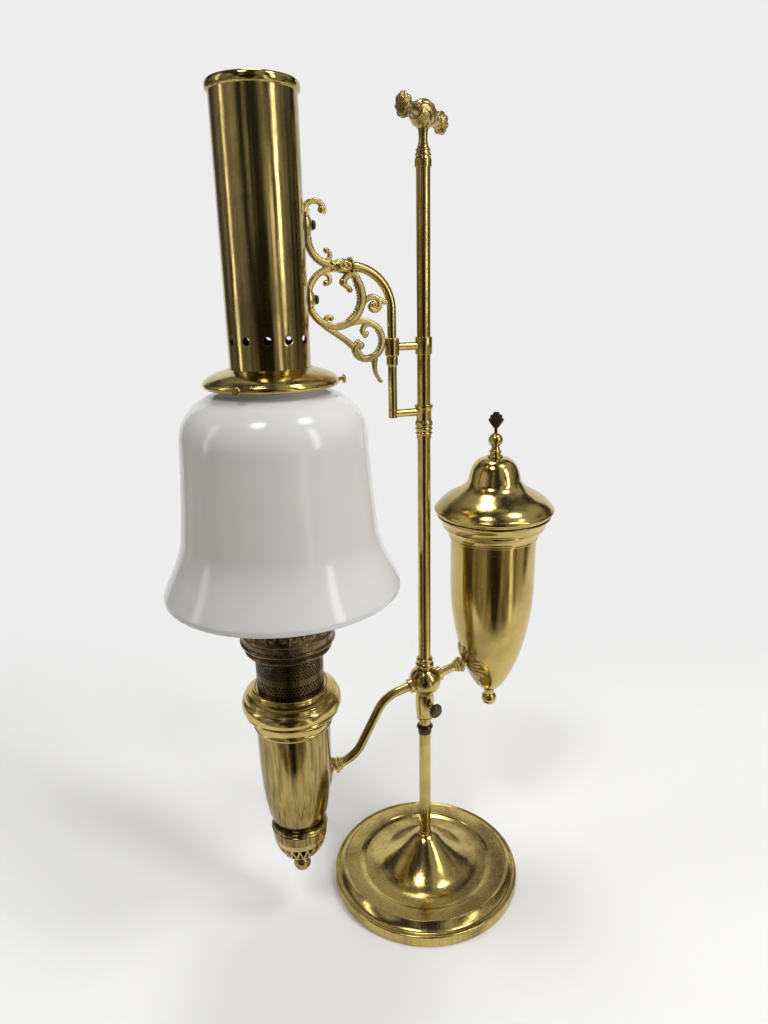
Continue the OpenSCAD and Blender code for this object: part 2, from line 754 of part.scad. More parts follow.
gallery_outer = concat(
    [[basket_r + slip_gap, gallery_z - 18.6], [basket_r + 1, gallery_z - 18.8],
     [basket_r + 4, gallery_z - 18]],
    arc([flange_r - 4.2, gallery_z - 15.4], 1.5, -60, 70, 5),
    [[flange_r - 3, gallery_z - 12.6]],
    arc([flange_r - 1.8, gallery_z - 9], 1.8, -60, 70, 6),
    [[flange_r - 1, gallery_z - 5.6], [flange_r - 0.8, gallery_z - 4]],
    curve([flange_r - 0.9, gallery_z - 3], [flange_r - 1.4, gallery_z + 4],
          [gallery_r + 0.4, gallery_z + 6], [gallery_r, gallery_z + 12], 6),
    [[gallery_r, gallery_top_z - 2.4]],
    arc([gallery_r - 0.2, gallery_top_z - 1.2], 1.2, -70, 90, 5));
gallery_inner = [
    [basket_r + slip_gap, gallery_z - 17.4], [flange_r - 5, gallery_z - 14],
    [flange_r - 3.2, gallery_z - 9], [flange_r - 2.4, gallery_z - 4],
    [gallery_r - sheet, gallery_z + 8], [gallery_r - sheet, gallery_top_z]];

module gallery() {
    color(dark_brass) at_burner() {
        shell(gallery_outer, gallery_inner);
        ring(gallery_r + 0.6, chimney_foot_d / 2 - 5, gallery_z, gallery_z + 1);
    }
}

spring_count = 4;

module chimney_springs() {
    foot = chimney_foot_d / 2 + slip_gap;
    edge = gallery_r - sheet - 0.4;
    color(brass) at_burner() for (k = [0:spring_count - 1]) rotate(45 + 360 * k / spring_count)
        translate([0, 2.5, 0]) rotate([90, 0, 0]) linear_extrude(height = 5) polygon([
            [edge, gallery_z + 1], [edge, gallery_z + 1.6], [foot + 2, gallery_z + 2.2],
            [foot + 0.7, gallery_z + 9], [foot + 2.4, gallery_z + 15],
            [foot + 1.9, gallery_z + 15.2], [foot + 0.1, gallery_z + 9],
            [foot + 1.4, gallery_z + 1]]);
}

chimney_z = gallery_z + 1;
chimney_r = chimney_d / 2;
foot_r = chimney_foot_d / 2;
shoulder_z = chimney_z + chimney_foot_h;

chimney_profile = concat(
    [[foot_r, chimney_z]],
    curve([foot_r, shoulder_z], [foot_r, shoulder_z + 7], [chimney_r, shoulder_z + 6],
          [chimney_r, shoulder_z + 14], 10),
    [[chimney_r, chimney_z + chimney_l]]);

module chimney() {
    color(clear_glass) at_burner() shell(chimney_profile, inset(chimney_profile, chimney_glass));
}

// Drip cup

cup_r = cup_d / 2;
cup_top_z = body_z - 1.6;
cup_low_z = cup_top_z - cup_h;
grille_z = cup_low_z - grille_h;
cup_bore_r = cup_neck_r + run_fit;

cup_outer = concat(
    curve([cup_r - 1, cup_low_z], [cup_r - 0.5, cup_low_z + 2], [cup_r - 0.6, cup_low_z + 4],
          [cup_r - 0.6, cup_low_z + 5.6], 4),
    arc([cup_r - 1.2, cup_low_z + 7.6], 1.2, -50, 60, 5),
    [[cup_r - 0.8, cup_low_z + 9.6], [cup_r - 0.9, cup_top_z - 0.8], [cup_r - 1.6, cup_top_z]]);
cup_inner = [
    [cup_r - 1 - sheet, cup_low_z], [cup_r - 0.7 - sheet, cup_low_z + 4],
    [cup_r - 0.9 - sheet, cup_top_z - 4.4], [cup_bore_r, cup_top_z - 4], [cup_bore_r, cup_top_z]];

module drip_cup() {
    color(brass) at_burner() shell(cup_outer, cup_inner);
}

ball_r = cup_ball_d / 2;
grille_profile = curve([ball_r + 2, grille_z], [cup_r * 0.65, grille_z + 1.5],
                       [cup_r * 0.9, grille_z + grille_h * 0.48], [cup_r - 1, cup_low_z], 8);

module drip_grille() {
    hole = 2 * PI * cup_r * 0.76 / grille_holes * 0.8;
    color(dark_brass) at_burner() difference() {
        shell(grille_profile, inset(grille_profile, sheet));
        for (k = [0:2 * grille_holes - 1]) rotate(180 * k / grille_holes)
            translate([cup_r * 0.42, 0, grille_z + grille_h * 0.7]) rotate([0, 120, 0])
                rotate(180 * (k % 2)) translate([-hole / 8, 0, 0])
                    cylinder(h = cup_r * 0.9, d = hole, $fn = 3);
        translate([0, 0, cup_low_z]) cylinder(h = sheet * 2, r = cup_r);
    }
}

module drip_ball() {
    z = grille_z;
    mid = z - ball_r - 3.6;
    color(brass) at_burner() turned(concat(
        [[0, mid - ball_r]], arc([0, mid], ball_r, -78, 50, 12),
        [[ball_r * 0.62, z - 1.4], [ball_r * 0.8, z - 0.6], [ball_r + 2.4, z - 0.3], [ball_r + 2.4, z],
         [ball_r + 0.8, z], [ball_r + 0.4, z + 0.8], [0, z + 0.8]]));
}

// Fount

mouth_r = mouth_d / 2;
mouth_z = neck_z + cornice_h;
lid_z = mouth_z + seat_gap;
cornice_in_r = fount_r + slip_gap;

module fount_shell() {
    outer = concat(fount_wall, [[fount_r, neck_z + 5]]);
    color(brass) at_fount() difference() {
        shell(outer, inset(outer, sheet));
        feed_bore_at_fount();
    }
}

cornice_outer = concat(
    [[cornice_in_r + sheet, neck_z], [cornice_in_r + 1.4, neck_z + 0.5], [cornice_in_r + 1.4, neck_z + 2]],
    curve([cornice_in_r + 2, neck_z + 2.6], [cornice_in_r + 2.4, neck_z + 6], [mouth_r - 6.6, neck_z + 6.4],
          [mouth_r - 5, neck_z + 8.4], 5),
    [[mouth_r - 4.4, neck_z + 8.6], [mouth_r - 4.2, neck_z + 10.4]],
    curve([mouth_r - 3.6, neck_z + 10.8], [mouth_r - 3, mouth_z - 3.6], [mouth_r - 0.8, mouth_z - 3.2],
          [mouth_r, mouth_z - 0.8], 5),
    [[mouth_r, mouth_z]]);
cornice_inner = [
    [cornice_in_r, neck_z], [cornice_in_r, neck_z + 5.2], [mouth_r - 6.6, neck_z + 9.2],
    [mouth_r - 5.4, neck_z + 11], [mouth_r - 2, mouth_z - 1.6], [mouth_r - 1.4, mouth_z]];

module fount_cornice() {
    color(brass) at_fount() shell(cornice_outer, cornice_inner);
}

module fount_drop() {
    r = drop_d / 2;
    mid = fount_z - r - 2.6;
    color(brass) at_fount() turned(concat(
        [[0, mid - r]], arc([0, mid], r, -78, 48, 12),
        [[r * 0.66, mid + r * 0.95], [tip_r - 0.6, fount_z - 0.6], [tip_r, fount_z],
         [tip_r - sheet - slip_gap, fount_z], [tip_r - sheet - slip_gap, fount_z + 2], [0, fount_z + 2]]));
}

tank_r = tank_d / 2;
tank_top_z = lid_z + slip_gap;
tank_low_z = mouth_z - tank_l;
tank_cone_h = 19;
mouth_hole_r = tank_mouth_d / 2;
tank_mouth_z = tank_low_z - tank_cone_h;
guide_r = fount_r - sheet - seat_gap;
post_top_z = fount_z + 24;
valve_low_z = post_top_z + seat_gap;

module valve_post() {
    color(brass) at_fount() turned([
        [0, fount_z + 2], [tip_r - sheet - slip_gap, fount_z + 2], [tip_r - sheet - slip_gap, fount_z + 3],
        [2, fount_z + 4], [2, post_top_z], [0, post_top_z]]);
}

tank_outer = [
    [mouth_hole_r + 2 + sheet, tank_mouth_z], [mouth_hole_r + 2 + sheet, tank_mouth_z + 2],
    [tank_r, tank_low_z],
    [tank_r, neck_z - 6], [guide_r, neck_z - 5], [guide_r, neck_z - 2], [tank_r, neck_z - 1],
    [tank_r, tank_top_z], [mouth_r - 3, tank_top_z], [mouth_r - 3, tank_top_z + sheet]];
tank_inner = [
    [mouth_hole_r + 2, tank_mouth_z], [mouth_hole_r + 2, tank_mouth_z + 2], [tank_r - sheet, tank_low_z],
    [tank_r - sheet, tank_top_z + sheet]];

module fount_tank() {
    color(brass) at_fount() shell(tank_outer, tank_inner);
}

module tank_mouth() {
    r = mouth_hole_r + 2 - slip_gap;
    color(brass) at_fount() turned([
        [mouth_hole_r, tank_mouth_z - 7], [r, tank_mouth_z - 7], [r + 1.6, tank_mouth_z - 6.4],
        [r + 1.6, tank_mouth_z - 0.1], [r, tank_mouth_z - 0.1], [r, tank_mouth_z + 2],
        [mouth_hole_r, tank_mouth_z + 2]]);
}

module valve() {
    seat_z = tank_mouth_z + 2 + seat_gap;
    color(brass) at_fount() turned([
        [0, valve_low_z], [1.6, valve_low_z], [1.6, seat_z], [mouth_hole_r + 1.2, seat_z],
        [mouth_hole_r + 1.2, seat_z + 1.6], [1.6, seat_z + 2.2], [1.6, seat_z + 12], [0, seat_z + 12]]);
}

lid_r = lid_d / 2;
bell_r = bell_d / 2;
bell_z = lid_z + lid_h * 0.6;
lid_top_z = lid_z + lid_h;
knob_r = knob_d / 2;
stem_top_z = lid_top_z + knob_stem_h;
knob_mid_z = stem_top_z + knob_r * 0.86;

lid_outer = concat(
    [[mouth_r - 1.4, lid_z], [lid_r - 2.4, lid_z + 0.4]],
    arc([lid_r - 2.3, lid_z + 4], 2.3, -72, 60, 8),
    curve([lid_r - 1.4, lid_z + 6.2], [lid_r - 7.6, lid_z + 16.6],
          [bell_r + 3.6, bell_z - 9], [bell_r, bell_z], 12),
    curve([bell_r - 0.1, bell_z + 0.6], [bell_r - 1.5, bell_z + 8],
          [bell_r - 4, lid_top_z], [knob_r - 0.6, lid_top_z], 10));
lid_curve = [for (p = lid_outer) if (p[1] > lid_z + 6) p];

module fount_lid() {
    inner = concat([[mouth_r - 1.4, lid_z + 1.4], [lid_r - 3.4, lid_z + 2]], inset(lid_curve, sheet));
    color(brass) at_fount() shell(lid_outer, inner);
}

module lid_knob() {
    color(brass) at_fount() turned(concat(
        [[0, lid_top_z - sheet], [knob_r - 0.7, lid_top_z - sheet], [knob_r - 0.7, lid_top_z + slip_gap],
         [knob_r + 0.4, lid_top_z + slip_gap], [knob_r + 0.4, lid_top_z + 1.2],
         [knob_r - 1.4, lid_top_z + 2], [knob_r - 1.4, lid_top_z + 3],
         [knob_r - 0.8, lid_top_z + 3.6], [knob_r - 0.8, lid_top_z + 4.6],
         [knob_r - 1.8, lid_top_z + 5.4], [knob_r * 0.5, stem_top_z]],
        arc([0, knob_mid_z], knob_r, -58, 86, 12), [[0, knob_mid_z + knob_r]]));
}

leaf_z = knob_mid_z + knob_r;
leaf_t = 2;
leaf_half = [
    [1.2, -9.6], [1.2, -6.4], [2.4, -5], [4, -2.8], [5.4, -0.6], [5.85, 1], [4.6, 1.2], [4.5, 2.4],
    [4.4, 3.8], [3.2, 4], [2.6, 4.2], [2.2, 5.6], [1.1, 6.3], [0, 6]];

// A lobed leaf with one half mirrored; the half is drawn 16 high and scaled to leaf_h
module lid_leaf() {
    other_half = [for (i = [len(leaf_half) - 2:-1:0]) [-leaf_half[i][0], leaf_half[i][1]]];
    color(iron) at_fount() translate([0, 0, leaf_z + leaf_h * 0.6]) rotate([90, 0, -25])
        translate([0, 0, -leaf_t / 2]) linear_extrude(height = leaf_t)
            polygon(concat(leaf_half, other_half) * leaf_h / 16);
}

// Bracket

bracket_collar_r = rod_r + run_fit + bracket_collar_wall;
lower_arm_z = bracket_z - bracket_span;
lower_collar_z = lower_arm_z - 10;
rest_top_z = lower_collar_z - seat_gap;
collar_low_z = bracket_z - bracket_collar_h / 2;
collar_high_z = bracket_z + bracket_collar_h / 2;
socket_r = socket_d / 2;
spigot_r = spigot_d / 2;
socket_low_z = lower_arm_z + arm_d / 2 + 0.6;

module rest_collar() {
    r = bracket_collar_r;
    z = rest_top_z - rest_h;
    color(brass) turned(concat([[rod_r + run_fit, z], [r - 0.7, z], [r - 0.6, z + rest_h * 0.3]],
        arc([r - 0.7, z + rest_h * 0.45], 0.9, -50, 80, 5),
        [[r - 0.5, z + rest_h * 0.62]],
        arc([r - 0.6, z + rest_h * 0.8], 1, -60, 80, 5),
        [[r - 0.6, rest_top_z], [rod_r + run_fit, rest_top_z]]));
}

module bracket_upper() {
    r = bracket_collar_r;
    color(brass) difference() {
        union() {
            turned([[rod_r + run_fit, collar_low_z], [r - 0.2, collar_low_z], [r, collar_low_z + 0.8],
                    [r, collar_high_z - 0.8], [r - 0.2, collar_high_z], [rod_r + run_fit, collar_high_z]]);
            bar([-r + 0.5, bracket_z], [-post_reach + 1, bracket_z], arm_d);
            translate([-post_reach, 0, 0]) turned([
                [0, collar_low_z], [socket_r + 1.4, collar_low_z], [socket_r + 1.9, collar_low_z + 1],
                [socket_r + 1.9, collar_high_z - 1], [socket_r + 1.5, collar_high_z], [0, collar_high_z]]);
        }
        translate([-post_reach, 0, collar_low_z - 1])
            cylinder(h = bracket_collar_h + 2, r = spigot_r + run_fit);
        translate([-post_reach, 0, collar_low_z - 1]) cylinder(h = 5, r = socket_r + slip_gap);
    }
}

module bracket_lower() {
    r = bracket_collar_r;
    z = lower_collar_z;
    color(brass) union() {
        turned([[rod_r + run_fit, z], [r + 0.2, z], [r + 0.4, z + 0.6], [r + 0.4, z + 2.4],
                [r - 0.5, z + 4], [r - 0.5, z + 9], [r, z + 12], [r + 0.5, z + 13], [r + 0.5, z + 15],
                [rod_r + run_fit, z + 15]]);
        bar([-r + 0.8, lower_arm_z], [-post_reach, lower_arm_z], arm_d, 0);
        translate([-post_reach, 0, lower_arm_z - arm_d / 2])
            cylinder(h = socket_low_z - lower_arm_z + arm_d / 2, r = socket_r);
    }
}

module socket_tube() {
    color(brass) translate([-post_reach, 0, 0]) turned([
        [spigot_r + run_fit, socket_low_z], [socket_r, socket_low_z], [socket_r, collar_low_z - 7],
        [socket_r + 0.9, collar_low_z - 5.4], [socket_r + 0.9, collar_low_z - 0.8],
        [socket_r + 0.5, collar_low_z - 0.1], [socket_r, collar_low_z - 0.1],
        [socket_r, collar_low_z + 3.8], [spigot_r + run_fit, collar_low_z + 3.8]]);
}

bend_z = bracket_z + bend_rise;
bend_x = -post_reach - bend_r;
boss_x = bend_x - 5;
boss_z = bend_z + bend_r;
swing_r = swing_d / 2;

module arm_path(d) {
    translate([-post_reach, 0, collar_high_z + seat_gap])
        cylinder(h = bend_z - collar_high_z - seat_gap + lap, d = d + bar_step);
    bend([bend_x, bend_z], bend_r, 0, 90, d);
    bar([bend_x, boss_z], [boss_x, boss_z], d + bar_step);
}

module arm_tube() {
    color(brass) union() {
        arm_path(swing_d);
        translate([-post_reach, 0, socket_low_z + seat_gap])
            cylinder(h = collar_high_z - socket_low_z + 2, d = spigot_d);
    }
}

// The scroll casting, laid out from the middle of the arm's bend
stack_r = stack_d / 2;
m = [bend_x, bend_z];
sc = m + [-11, 9];
lc = m + [9, -19.5];
tr = scroll_t / 2;
fine = tr * 0.76;
clip_x = -burner_reach + stack_r + 2.4;
clip_z = [bend_z + 52.5, bend_z + 8];

scroll_strands = [
    // top volute and the stem from the upper clip to the boss
    [spiral(m + [-21.4, 60], 8.4, 4.4, 190, -10, 12), fine * 0.9, fine],
    [spiral(m + [-12.4, 44.7], 15.6, 15.6, 277, 165, 12), tr, tr],
    [curve([clip_x + 0.6, bend_z + 47], [clip_x, bend_z + 50], [clip_x - 0.4, bend_z + 56],
           [clip_x + 0.4, bend_z + 62], 5), tr, fine],
    [spiral(m + [-16.9, 35.5], 4.8, 1.8, -120, 100, 7), fine, fine * 0.8],
    // the large scroll from the boss round to its inner leaf
    [spiral(sc, 18.2, 18.2, 76, 396, 30), tr, tr],
    [curve(sc + [14.9, 10.4], sc + [13, 13.6], sc + [10, 12.4], sc + [8, 9.4], 5), tr, tr * 1.5],
    [spiral(sc + [-6.9, 10.5], 5.2, 1.6, 120, -110, 7), fine, fine * 0.8],
    [spiral(sc + [-3.9, -14], 4.4, 1.4, 228, 50, 7), fine, fine * 0.8],
    // the branch that curls against the arm
    [curve(sc + [14.5, -11], sc + [17.6, -7], sc + [18.6, 0], sc + [26.1, 0], 7), fine, fine * 1.1],
    [spiral(sc + [26.1, -5.5], 5.5, 2, 92, -190, 11), fine * 1.1, fine],
    [curve(sc + [28.4, -0.8], sc + [31, -2], sc + [33, -3.6],
           [-post_reach - swing_r + 1, bend_z + 4.8], 4), fine, fine],
    // the lower leaf loop with its stems and tail
    [curve(sc + [-11.2, -14.3], sc + [-5.4, -22], lc + [-12, 4], lc + [-2.6, -11.4], 8), fine, fine * 1.1],
    [spiral(lc, 11.7, 12.6, 256, 436, 14), fine * 1.2, fine * 1.2],
    [curve(lc + [3.2, 12.2], lc + [-3, 15], lc + [-9, 12], sc + [5.6, -17.3], 7), fine * 1.2, fine],
    [curve(lc + [-2.5, -11.3], lc + [-9.5, -9.5], lc + [-9, -0.4], lc + [-4, -2.2], 6), fine, tr * 1.4],
    [curve(lc + [3, 11.9], lc + [-3, 10.6], lc + [-3.5, 5], lc + [0, 4.1], 5), fine, tr * 1.25],
    [curve(lc + [6.5, -9.7], lc + [5.5, -15.5], lc + [5, -21.5], lc + [10.5, -27], 7),
     fine * 1.1, fine * 0.7]];

// Rounded lumps that finish the strands: middle, second middle and radius
scroll_lumps = [
    [m + [-17.9, 61.6], m + [-17, 62], 2.5], [m + [-16, 37.6], m + [-15.6, 38.2], 1.9],
    [[boss_x - 3, boss_z + 0.6], [boss_x + 3, boss_z], swing_r + 1.5], [sc + [8.4, 9], sc + [10, 10], 3.1],
    [sc + [-6, 9], sc + [-5.4, 8.8], 1.8], [sc + [-3.6, -12.8], sc + [-4.4, -12.6], 1.7],
    [sc + [25.4, -5], sc + [26.4, -5.6], 2.2], [lc + [-4.2, -2.2], lc + [-3, -2.6], 2.6],
    [lc + [0, 4.2], lc + [1, 4.4], 2.2],
    [[clip_x, clip_z[0]], [clip_x - 2, clip_z[0]], 3.3],
    [[clip_x, clip_z[1]], [clip_x - 2, clip_z[1]], 3.3]];

clip_h = 14;
stack_screw_d = 2.8;
stack_screw_x = clip_x + 3.3;

module scroll_ornament() {
    color(brass) difference() {
        union() {
            for (one = scroll_strands) strand(one[0], one[1], one[2]);
            for (lump = scroll_lumps) hull() {
                translate([lump[0][0], 0, lump[0][1]]) sphere(r = lump[2], $fn = 12);
                translate([lump[1][0], 0, lump[1][1]]) sphere(r = lump[2] * 0.92, $fn = 12);
            }
            at_burner() for (z = clip_z) translate([0, 0, z - clip_h / 2]) rotate(-12)
                rotate_extrude(angle = 24, $fn = 60) translate([stack_r, 0]) square([1.6, clip_h]);
        }
        at_burner() translate([0, 0, bend_z - 20]) cylinder(h = 100, r = stack_r + slip_gap);
        arm_path(swing_d + 2 * slip_gap, $fn = 32);
        for (z = clip_z) translate([clip_x - 6, 0, z]) rotate([0, 90, 0])
            cylinder(h = 20, d = stack_screw_d + 2 * slip_gap, $fn = 24);
    }
}

module stack_screws() {
    inner = -burner_reach + stack_r - 2;
    color(iron) for (z = clip_z) translate([inner, 0, z]) rotate([0, 90, 0]) turned([
        [0, 0], [stack_screw_d / 2, 0], [stack_screw_d / 2, stack_screw_x - inner + slip_gap],
        [2.9, stack_screw_x - inner + slip_gap], [3.1, stack_screw_x - inner + 0.6],
        [2.6, stack_screw_x - inner + 2], [0, stack_screw_x - inner + 2.8]]);
}

// Stack, canopy and shade

stack_z = bracket_z - stack_drop;
stack_top_z = stack_z + stack_l;
rim_r = stack_rim_d / 2;
stack_hole_z = stack_z + 20;

module stack() {
    rim = arc([rim_r - 2, stack_top_z - stack_rim_h / 2], stack_rim_h / 2, -50, 90, 8);
    outer = concat([[stack_r, stack_z], [stack_r, stack_top_z - stack_rim_h]],
                   [for (p = rim) [rim_r - 2 + (p[0] - rim_r + 2) * 4 / stack_rim_h, p[1]]]);
    inner = [[stack_r - 0.8, stack_z], [stack_r - 0.8, stack_top_z - 1], [stack_r - 0.3, stack_top_z]];
    color(brass) at_burner() difference() {
        shell(outer, inner);
        for (k = [0:stack_holes - 1]) rotate(360 * (k + 0.5) / stack_holes)
            translate([stack_r - 3, 0, stack_hole_z]) rotate([0, 90, 0])
                cylinder(h = 6, d = stack_hole_d, $fn = 24);
        for (z = clip_z) translate([stack_r - 3, 0, z]) rotate([0, 90, 0])
            cylinder(h = 6, d = stack_screw_d + 2 * slip_gap, $fn = 24);
    }
}

screw_z = stack_z - 7;
canopy_top_z = screw_z + canopy_h;
canopy_r = canopy_d / 2;
screw_turns = [-129, -9, 111];
screw_d = 2.6;

canopy_outer = concat(
    [[canopy_r - 3.2, screw_z - 2.8]],
    arc([canopy_r - 2.6, screw_z], 2.6, -60, 50, 8),
    curve([canopy_r - 1.2, screw_z + 2.4], [canopy_r - 4, screw_z + 5.4],
          [stack_r + 9, canopy_top_z - 2.4], [stack_r + 2.4, canopy_top_z - 0.6], 9),
    [[stack_r + 1, canopy_top_z], [stack_r + slip_gap, canopy_top_z]]);
canopy_inner = [
    [canopy_r - 4.3, screw_z - 2.8], [canopy_r - 4.3, screw_z + 3.4], [canopy_r - 7, screw_z + 5],
    [stack_r + 4, canopy_top_z - 1.8], [stack_r + slip_gap, canopy_top_z - 1.4]];

module canopy() {
    color(brass) at_burner() difference() {
        shell(canopy_outer, canopy_inner);
        for (turn = screw_turns) rotate(turn) translate([canopy_r - 8, 0, screw_z]) rotate([0, 90, 0])
            cylinder(h = 16, r = screw_d / 2 + run_fit);
    }
}

neck_r = shade_neck_d / 2;

module shade_screw(turn) {
    r = shade_screw_head_d / 2;
    tip = neck_r + seat_gap;
    head = canopy_r + 2.4;
    color(brass) at_burner() rotate(turn) translate([0, 0, screw_z]) rotate([0, 90, 0]) turned([
        [0, tip], [screw_d / 2, tip], [screw_d / 2, head], [r - 0.4, head], [r, head + 0.5],
        [r, head + 1.7], [r - 0.5, head + 2.2], [0, head + 2.4]]);
}

rim_z = screw_z - shade_h;
shade_r = shade_d / 2;
waist_s = shade_waist_d / 2;
shoulder_s = shade_shoulder_d / 2;
lip_low_z = screw_z + screw_d / 2 + 0.4;
shade_neck_z = screw_z - 6;

shade_outer = concat(
    arc([shade_r - 1.6, rim_z + 1.6], 1.6, -80, 10, 4),
    curve([shade_r - 0.2, rim_z + 4], [shade_r - 7.4, rim_z + 20.4], [waist_s + 1.8, rim_z + shade_h * 0.2],
          [waist_s, rim_z + shade_h * 0.295], 12),
    curve([waist_s - 0.2, rim_z + shade_h * 0.31], [waist_s - 2, rim_z + shade_h * 0.42],
          [shoulder_s + 1, rim_z + shade_h * 0.58], [shoulder_s, rim_z + shade_h * 0.735], 6),
    curve([shoulder_s - 0.1, rim_z + shade_h * 0.75], [shoulder_s - 1, shade_neck_z - 14],
          [shoulder_s - 11.5, shade_neck_z - 3], [neck_r + 2, shade_neck_z - 0.2], 12),
    [[neck_r + 0.6, shade_neck_z + 0.4], [neck_r, shade_neck_z + 1.6]]);

module shade() {
    inside = neck_r - shade_glass;
    color(opal) at_burner() turned(concat(
        shade_outer,
        [[neck_r, lip_low_z - 0.2], [neck_r + 2.2, lip_low_z], [neck_r + 2.5, lip_low_z + 0.4],
         [neck_r + 2.5, lip_low_z + 2], [neck_r + 2, lip_low_z + 2.4], [inside, lip_low_z + 2.4]],
        flip(inset(shade_outer, shade_glass))));
}

base_shell();
base_weight();
base_felt();
base_nut();
rod();
stop_collar();
rod_ferrule();
top_finial();
hub_bush();
hub_lip();
hub_body();
hub_screw();
burner_arm();
fount_arm();
burner_arm_ferrule();
fount_arm_ferrule();
burner_rosette();
fount_rosette();
burner_body();
burner_collar();
draught_tube();
wick_tube();
burner_floor();
burner_deck();
wick();
wick_carrier();
air_basket();
gallery();
chimney_springs();
chimney();
drip_cup();
drip_grille();
drip_ball();
fount_shell();
fount_cornice();
fount_drop();
valve_post();
fount_tank();
tank_mouth();
valve();
fount_lid();
lid_knob();
lid_leaf();
rest_collar();
bracket_upper();
bracket_lower();
socket_tube();
arm_tube();
scroll_ornament();
stack_screws();
stack();
canopy();
shade();
shade_screw(screw_turns[0]);  // shade_screw_1
shade_screw(screw_turns[1]);  // shade_screw_2
shade_screw(screw_turns[2]);  // shade_screw_3
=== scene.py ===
# %% [markdown]
# A brass student lamp, dressed piece by piece.
# The frame brings in every solid of the lamp in metres, already in place. It stays as it is,
# and each piece below either stands in for one of its solids or gives a solid its finish.

# %% Load the frame
import json
import math

import bmesh
import bpy
from mathutils import Matrix, Vector


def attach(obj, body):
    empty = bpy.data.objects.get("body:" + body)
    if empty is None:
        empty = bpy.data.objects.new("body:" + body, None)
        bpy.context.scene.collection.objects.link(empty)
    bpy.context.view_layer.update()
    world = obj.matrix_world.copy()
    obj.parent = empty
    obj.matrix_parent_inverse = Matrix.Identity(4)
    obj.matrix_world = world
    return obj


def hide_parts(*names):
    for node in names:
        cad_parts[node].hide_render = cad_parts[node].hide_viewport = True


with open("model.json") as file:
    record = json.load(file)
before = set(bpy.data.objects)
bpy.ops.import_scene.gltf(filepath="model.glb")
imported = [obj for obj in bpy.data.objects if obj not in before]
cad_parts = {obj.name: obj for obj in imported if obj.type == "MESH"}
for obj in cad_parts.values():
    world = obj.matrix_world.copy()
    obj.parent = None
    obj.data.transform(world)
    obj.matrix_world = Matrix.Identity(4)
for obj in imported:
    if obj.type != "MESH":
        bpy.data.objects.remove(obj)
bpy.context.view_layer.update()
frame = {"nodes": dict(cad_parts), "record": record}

# A millimetre in metres; then, in millimetres, the axes of the burner, the fount and the bracket's
# upright, and the height of the hub's middle
MM = 0.001
BURNER_X = -108.0
FOUNT_X = 59.0
POST_X = -23.6
HUB_Z = 187.5

body_of = {}
for body, members in frame["record"]["behaviour"]["bodies"].items():
    for member in members:
        body_of[member] = body

# %% [markdown]
# Nodes could be made and linked one by one, but maths reads best as plain arithmetic. A wire wraps one
# socket of a node tree, and adding or multiplying wires puts the Math nodes into that tree. Every other
# kind of node comes from one method. The same class serves materials and Geometry Nodes, because both
# are node trees.

# %% Wires


class Wire:
    """One socket of a node tree, or the tree itself where there is no socket yet."""

    def __init__(self, tree, socket=None):
        self.tree = tree
        self.socket = socket

    def node(self, kind, settings=None, sockets=None, out=0):
        """Adds a node: its settings first, then values or links for its sockets."""
        made = self.tree.nodes.new(kind)
        for name, value in (settings or {}).items():
            setattr(made, name, value)
        for name, value in (sockets or {}).items():
            if isinstance(value, Wire):
                self.tree.links.new(value.socket, made.inputs[name])
            else:
                made.inputs[name].default_value = value
        return Wire(self.tree, made.outputs[out] if len(made.outputs) else None)

    def maths(self, operation, *others):
        """A Math node on this value and any others."""
        return self.node("ShaderNodeMath", {"operation": operation}, dict(enumerate((self, *others))))

    def __add__(self, other):
        return self.maths("ADD", other)

    def __sub__(self, other):
        return self.maths("SUBTRACT", other)

    def __rsub__(self, other):
        return self.node("ShaderNodeMath", {"operation": "SUBTRACT"}, {0: other, 1: self})

    def __mul__(self, other):
        return self.maths("MULTIPLY", other)

    def __truediv__(self, other):
        return self.maths("DIVIDE", other)

    def __pow__(self, other):
        return self.maths("POWER", other)

    __radd__ = __add__
    __rmul__ = __mul__

    def between(self, low, high):
        """0 at one value and 1 at the other, smooth between them and held beyond."""
        return self.node("ShaderNodeMapRange", {"interpolation_type": "SMOOTHSTEP"},
                         {0: self, 1: low, 2: high, 3: 0.0, 4: 1.0})

    def tint(self, plain, full):
        """A colour that goes from plain to full as this value goes from 0 to 1."""
        return self.node("ShaderNodeMix", {"data_type": "RGBA"}, {0: self, 6: plain, 7: full}, 2)

    def noise(self, scale, detail=3.0, rough=0.55):
        """Noise at this place."""
        return self.node("ShaderNodeTexNoise", None,
                         {"Vector": self, "Scale": scale, "Detail": detail, "Roughness": rough})

    def stretched(self, x, y, z):
        """This place with each axis scaled on its own."""
        return self.node("ShaderNodeMapping", None, {"Vector": self, "Scale": (x, y, z)})

    def bump(self, strength, depth):
        """A normal from this value taken as a height."""
        return self.node("ShaderNodeBump", None, {"Strength": strength, "Distance": depth, "Height": self},
                         "Normal")

    def parts(self):
        """The three numbers of a vector."""
        split = self.node("ShaderNodeSeparateXYZ", None, {0: self})
        return [Wire(self.tree, s) for s in split.socket.node.outputs]


print("wires ready")

# %% [markdown]
# Old polished brass is not one colour. Broad clouds of thin tarnish dull it towards brown, polishing
# leaves fine rubbed lines, and tiny dark pits stay where the cloth does not reach. A picture of brass
# could be laid on the pieces, but it would bring its own reflections. Noise in object space keeps its
# size on every piece, and it stays weak here: what the eye reads as brass is mainly the reflections.

# %% Brass finishes


def new_finish(name, rough, metal=0.0):
    """A material, its shader and a wire with the place on the piece."""
    material = bpy.data.materials.new(name)
    material.use_nodes = True
    shader = material.node_tree.nodes["Principled BSDF"]
    shader.inputs["Roughness"].default_value = rough
    shader.inputs["Metallic"].default_value = metal
    place = Wire(material.node_tree).node("ShaderNodeTexCoord", out="Object")
    return material, shader, place


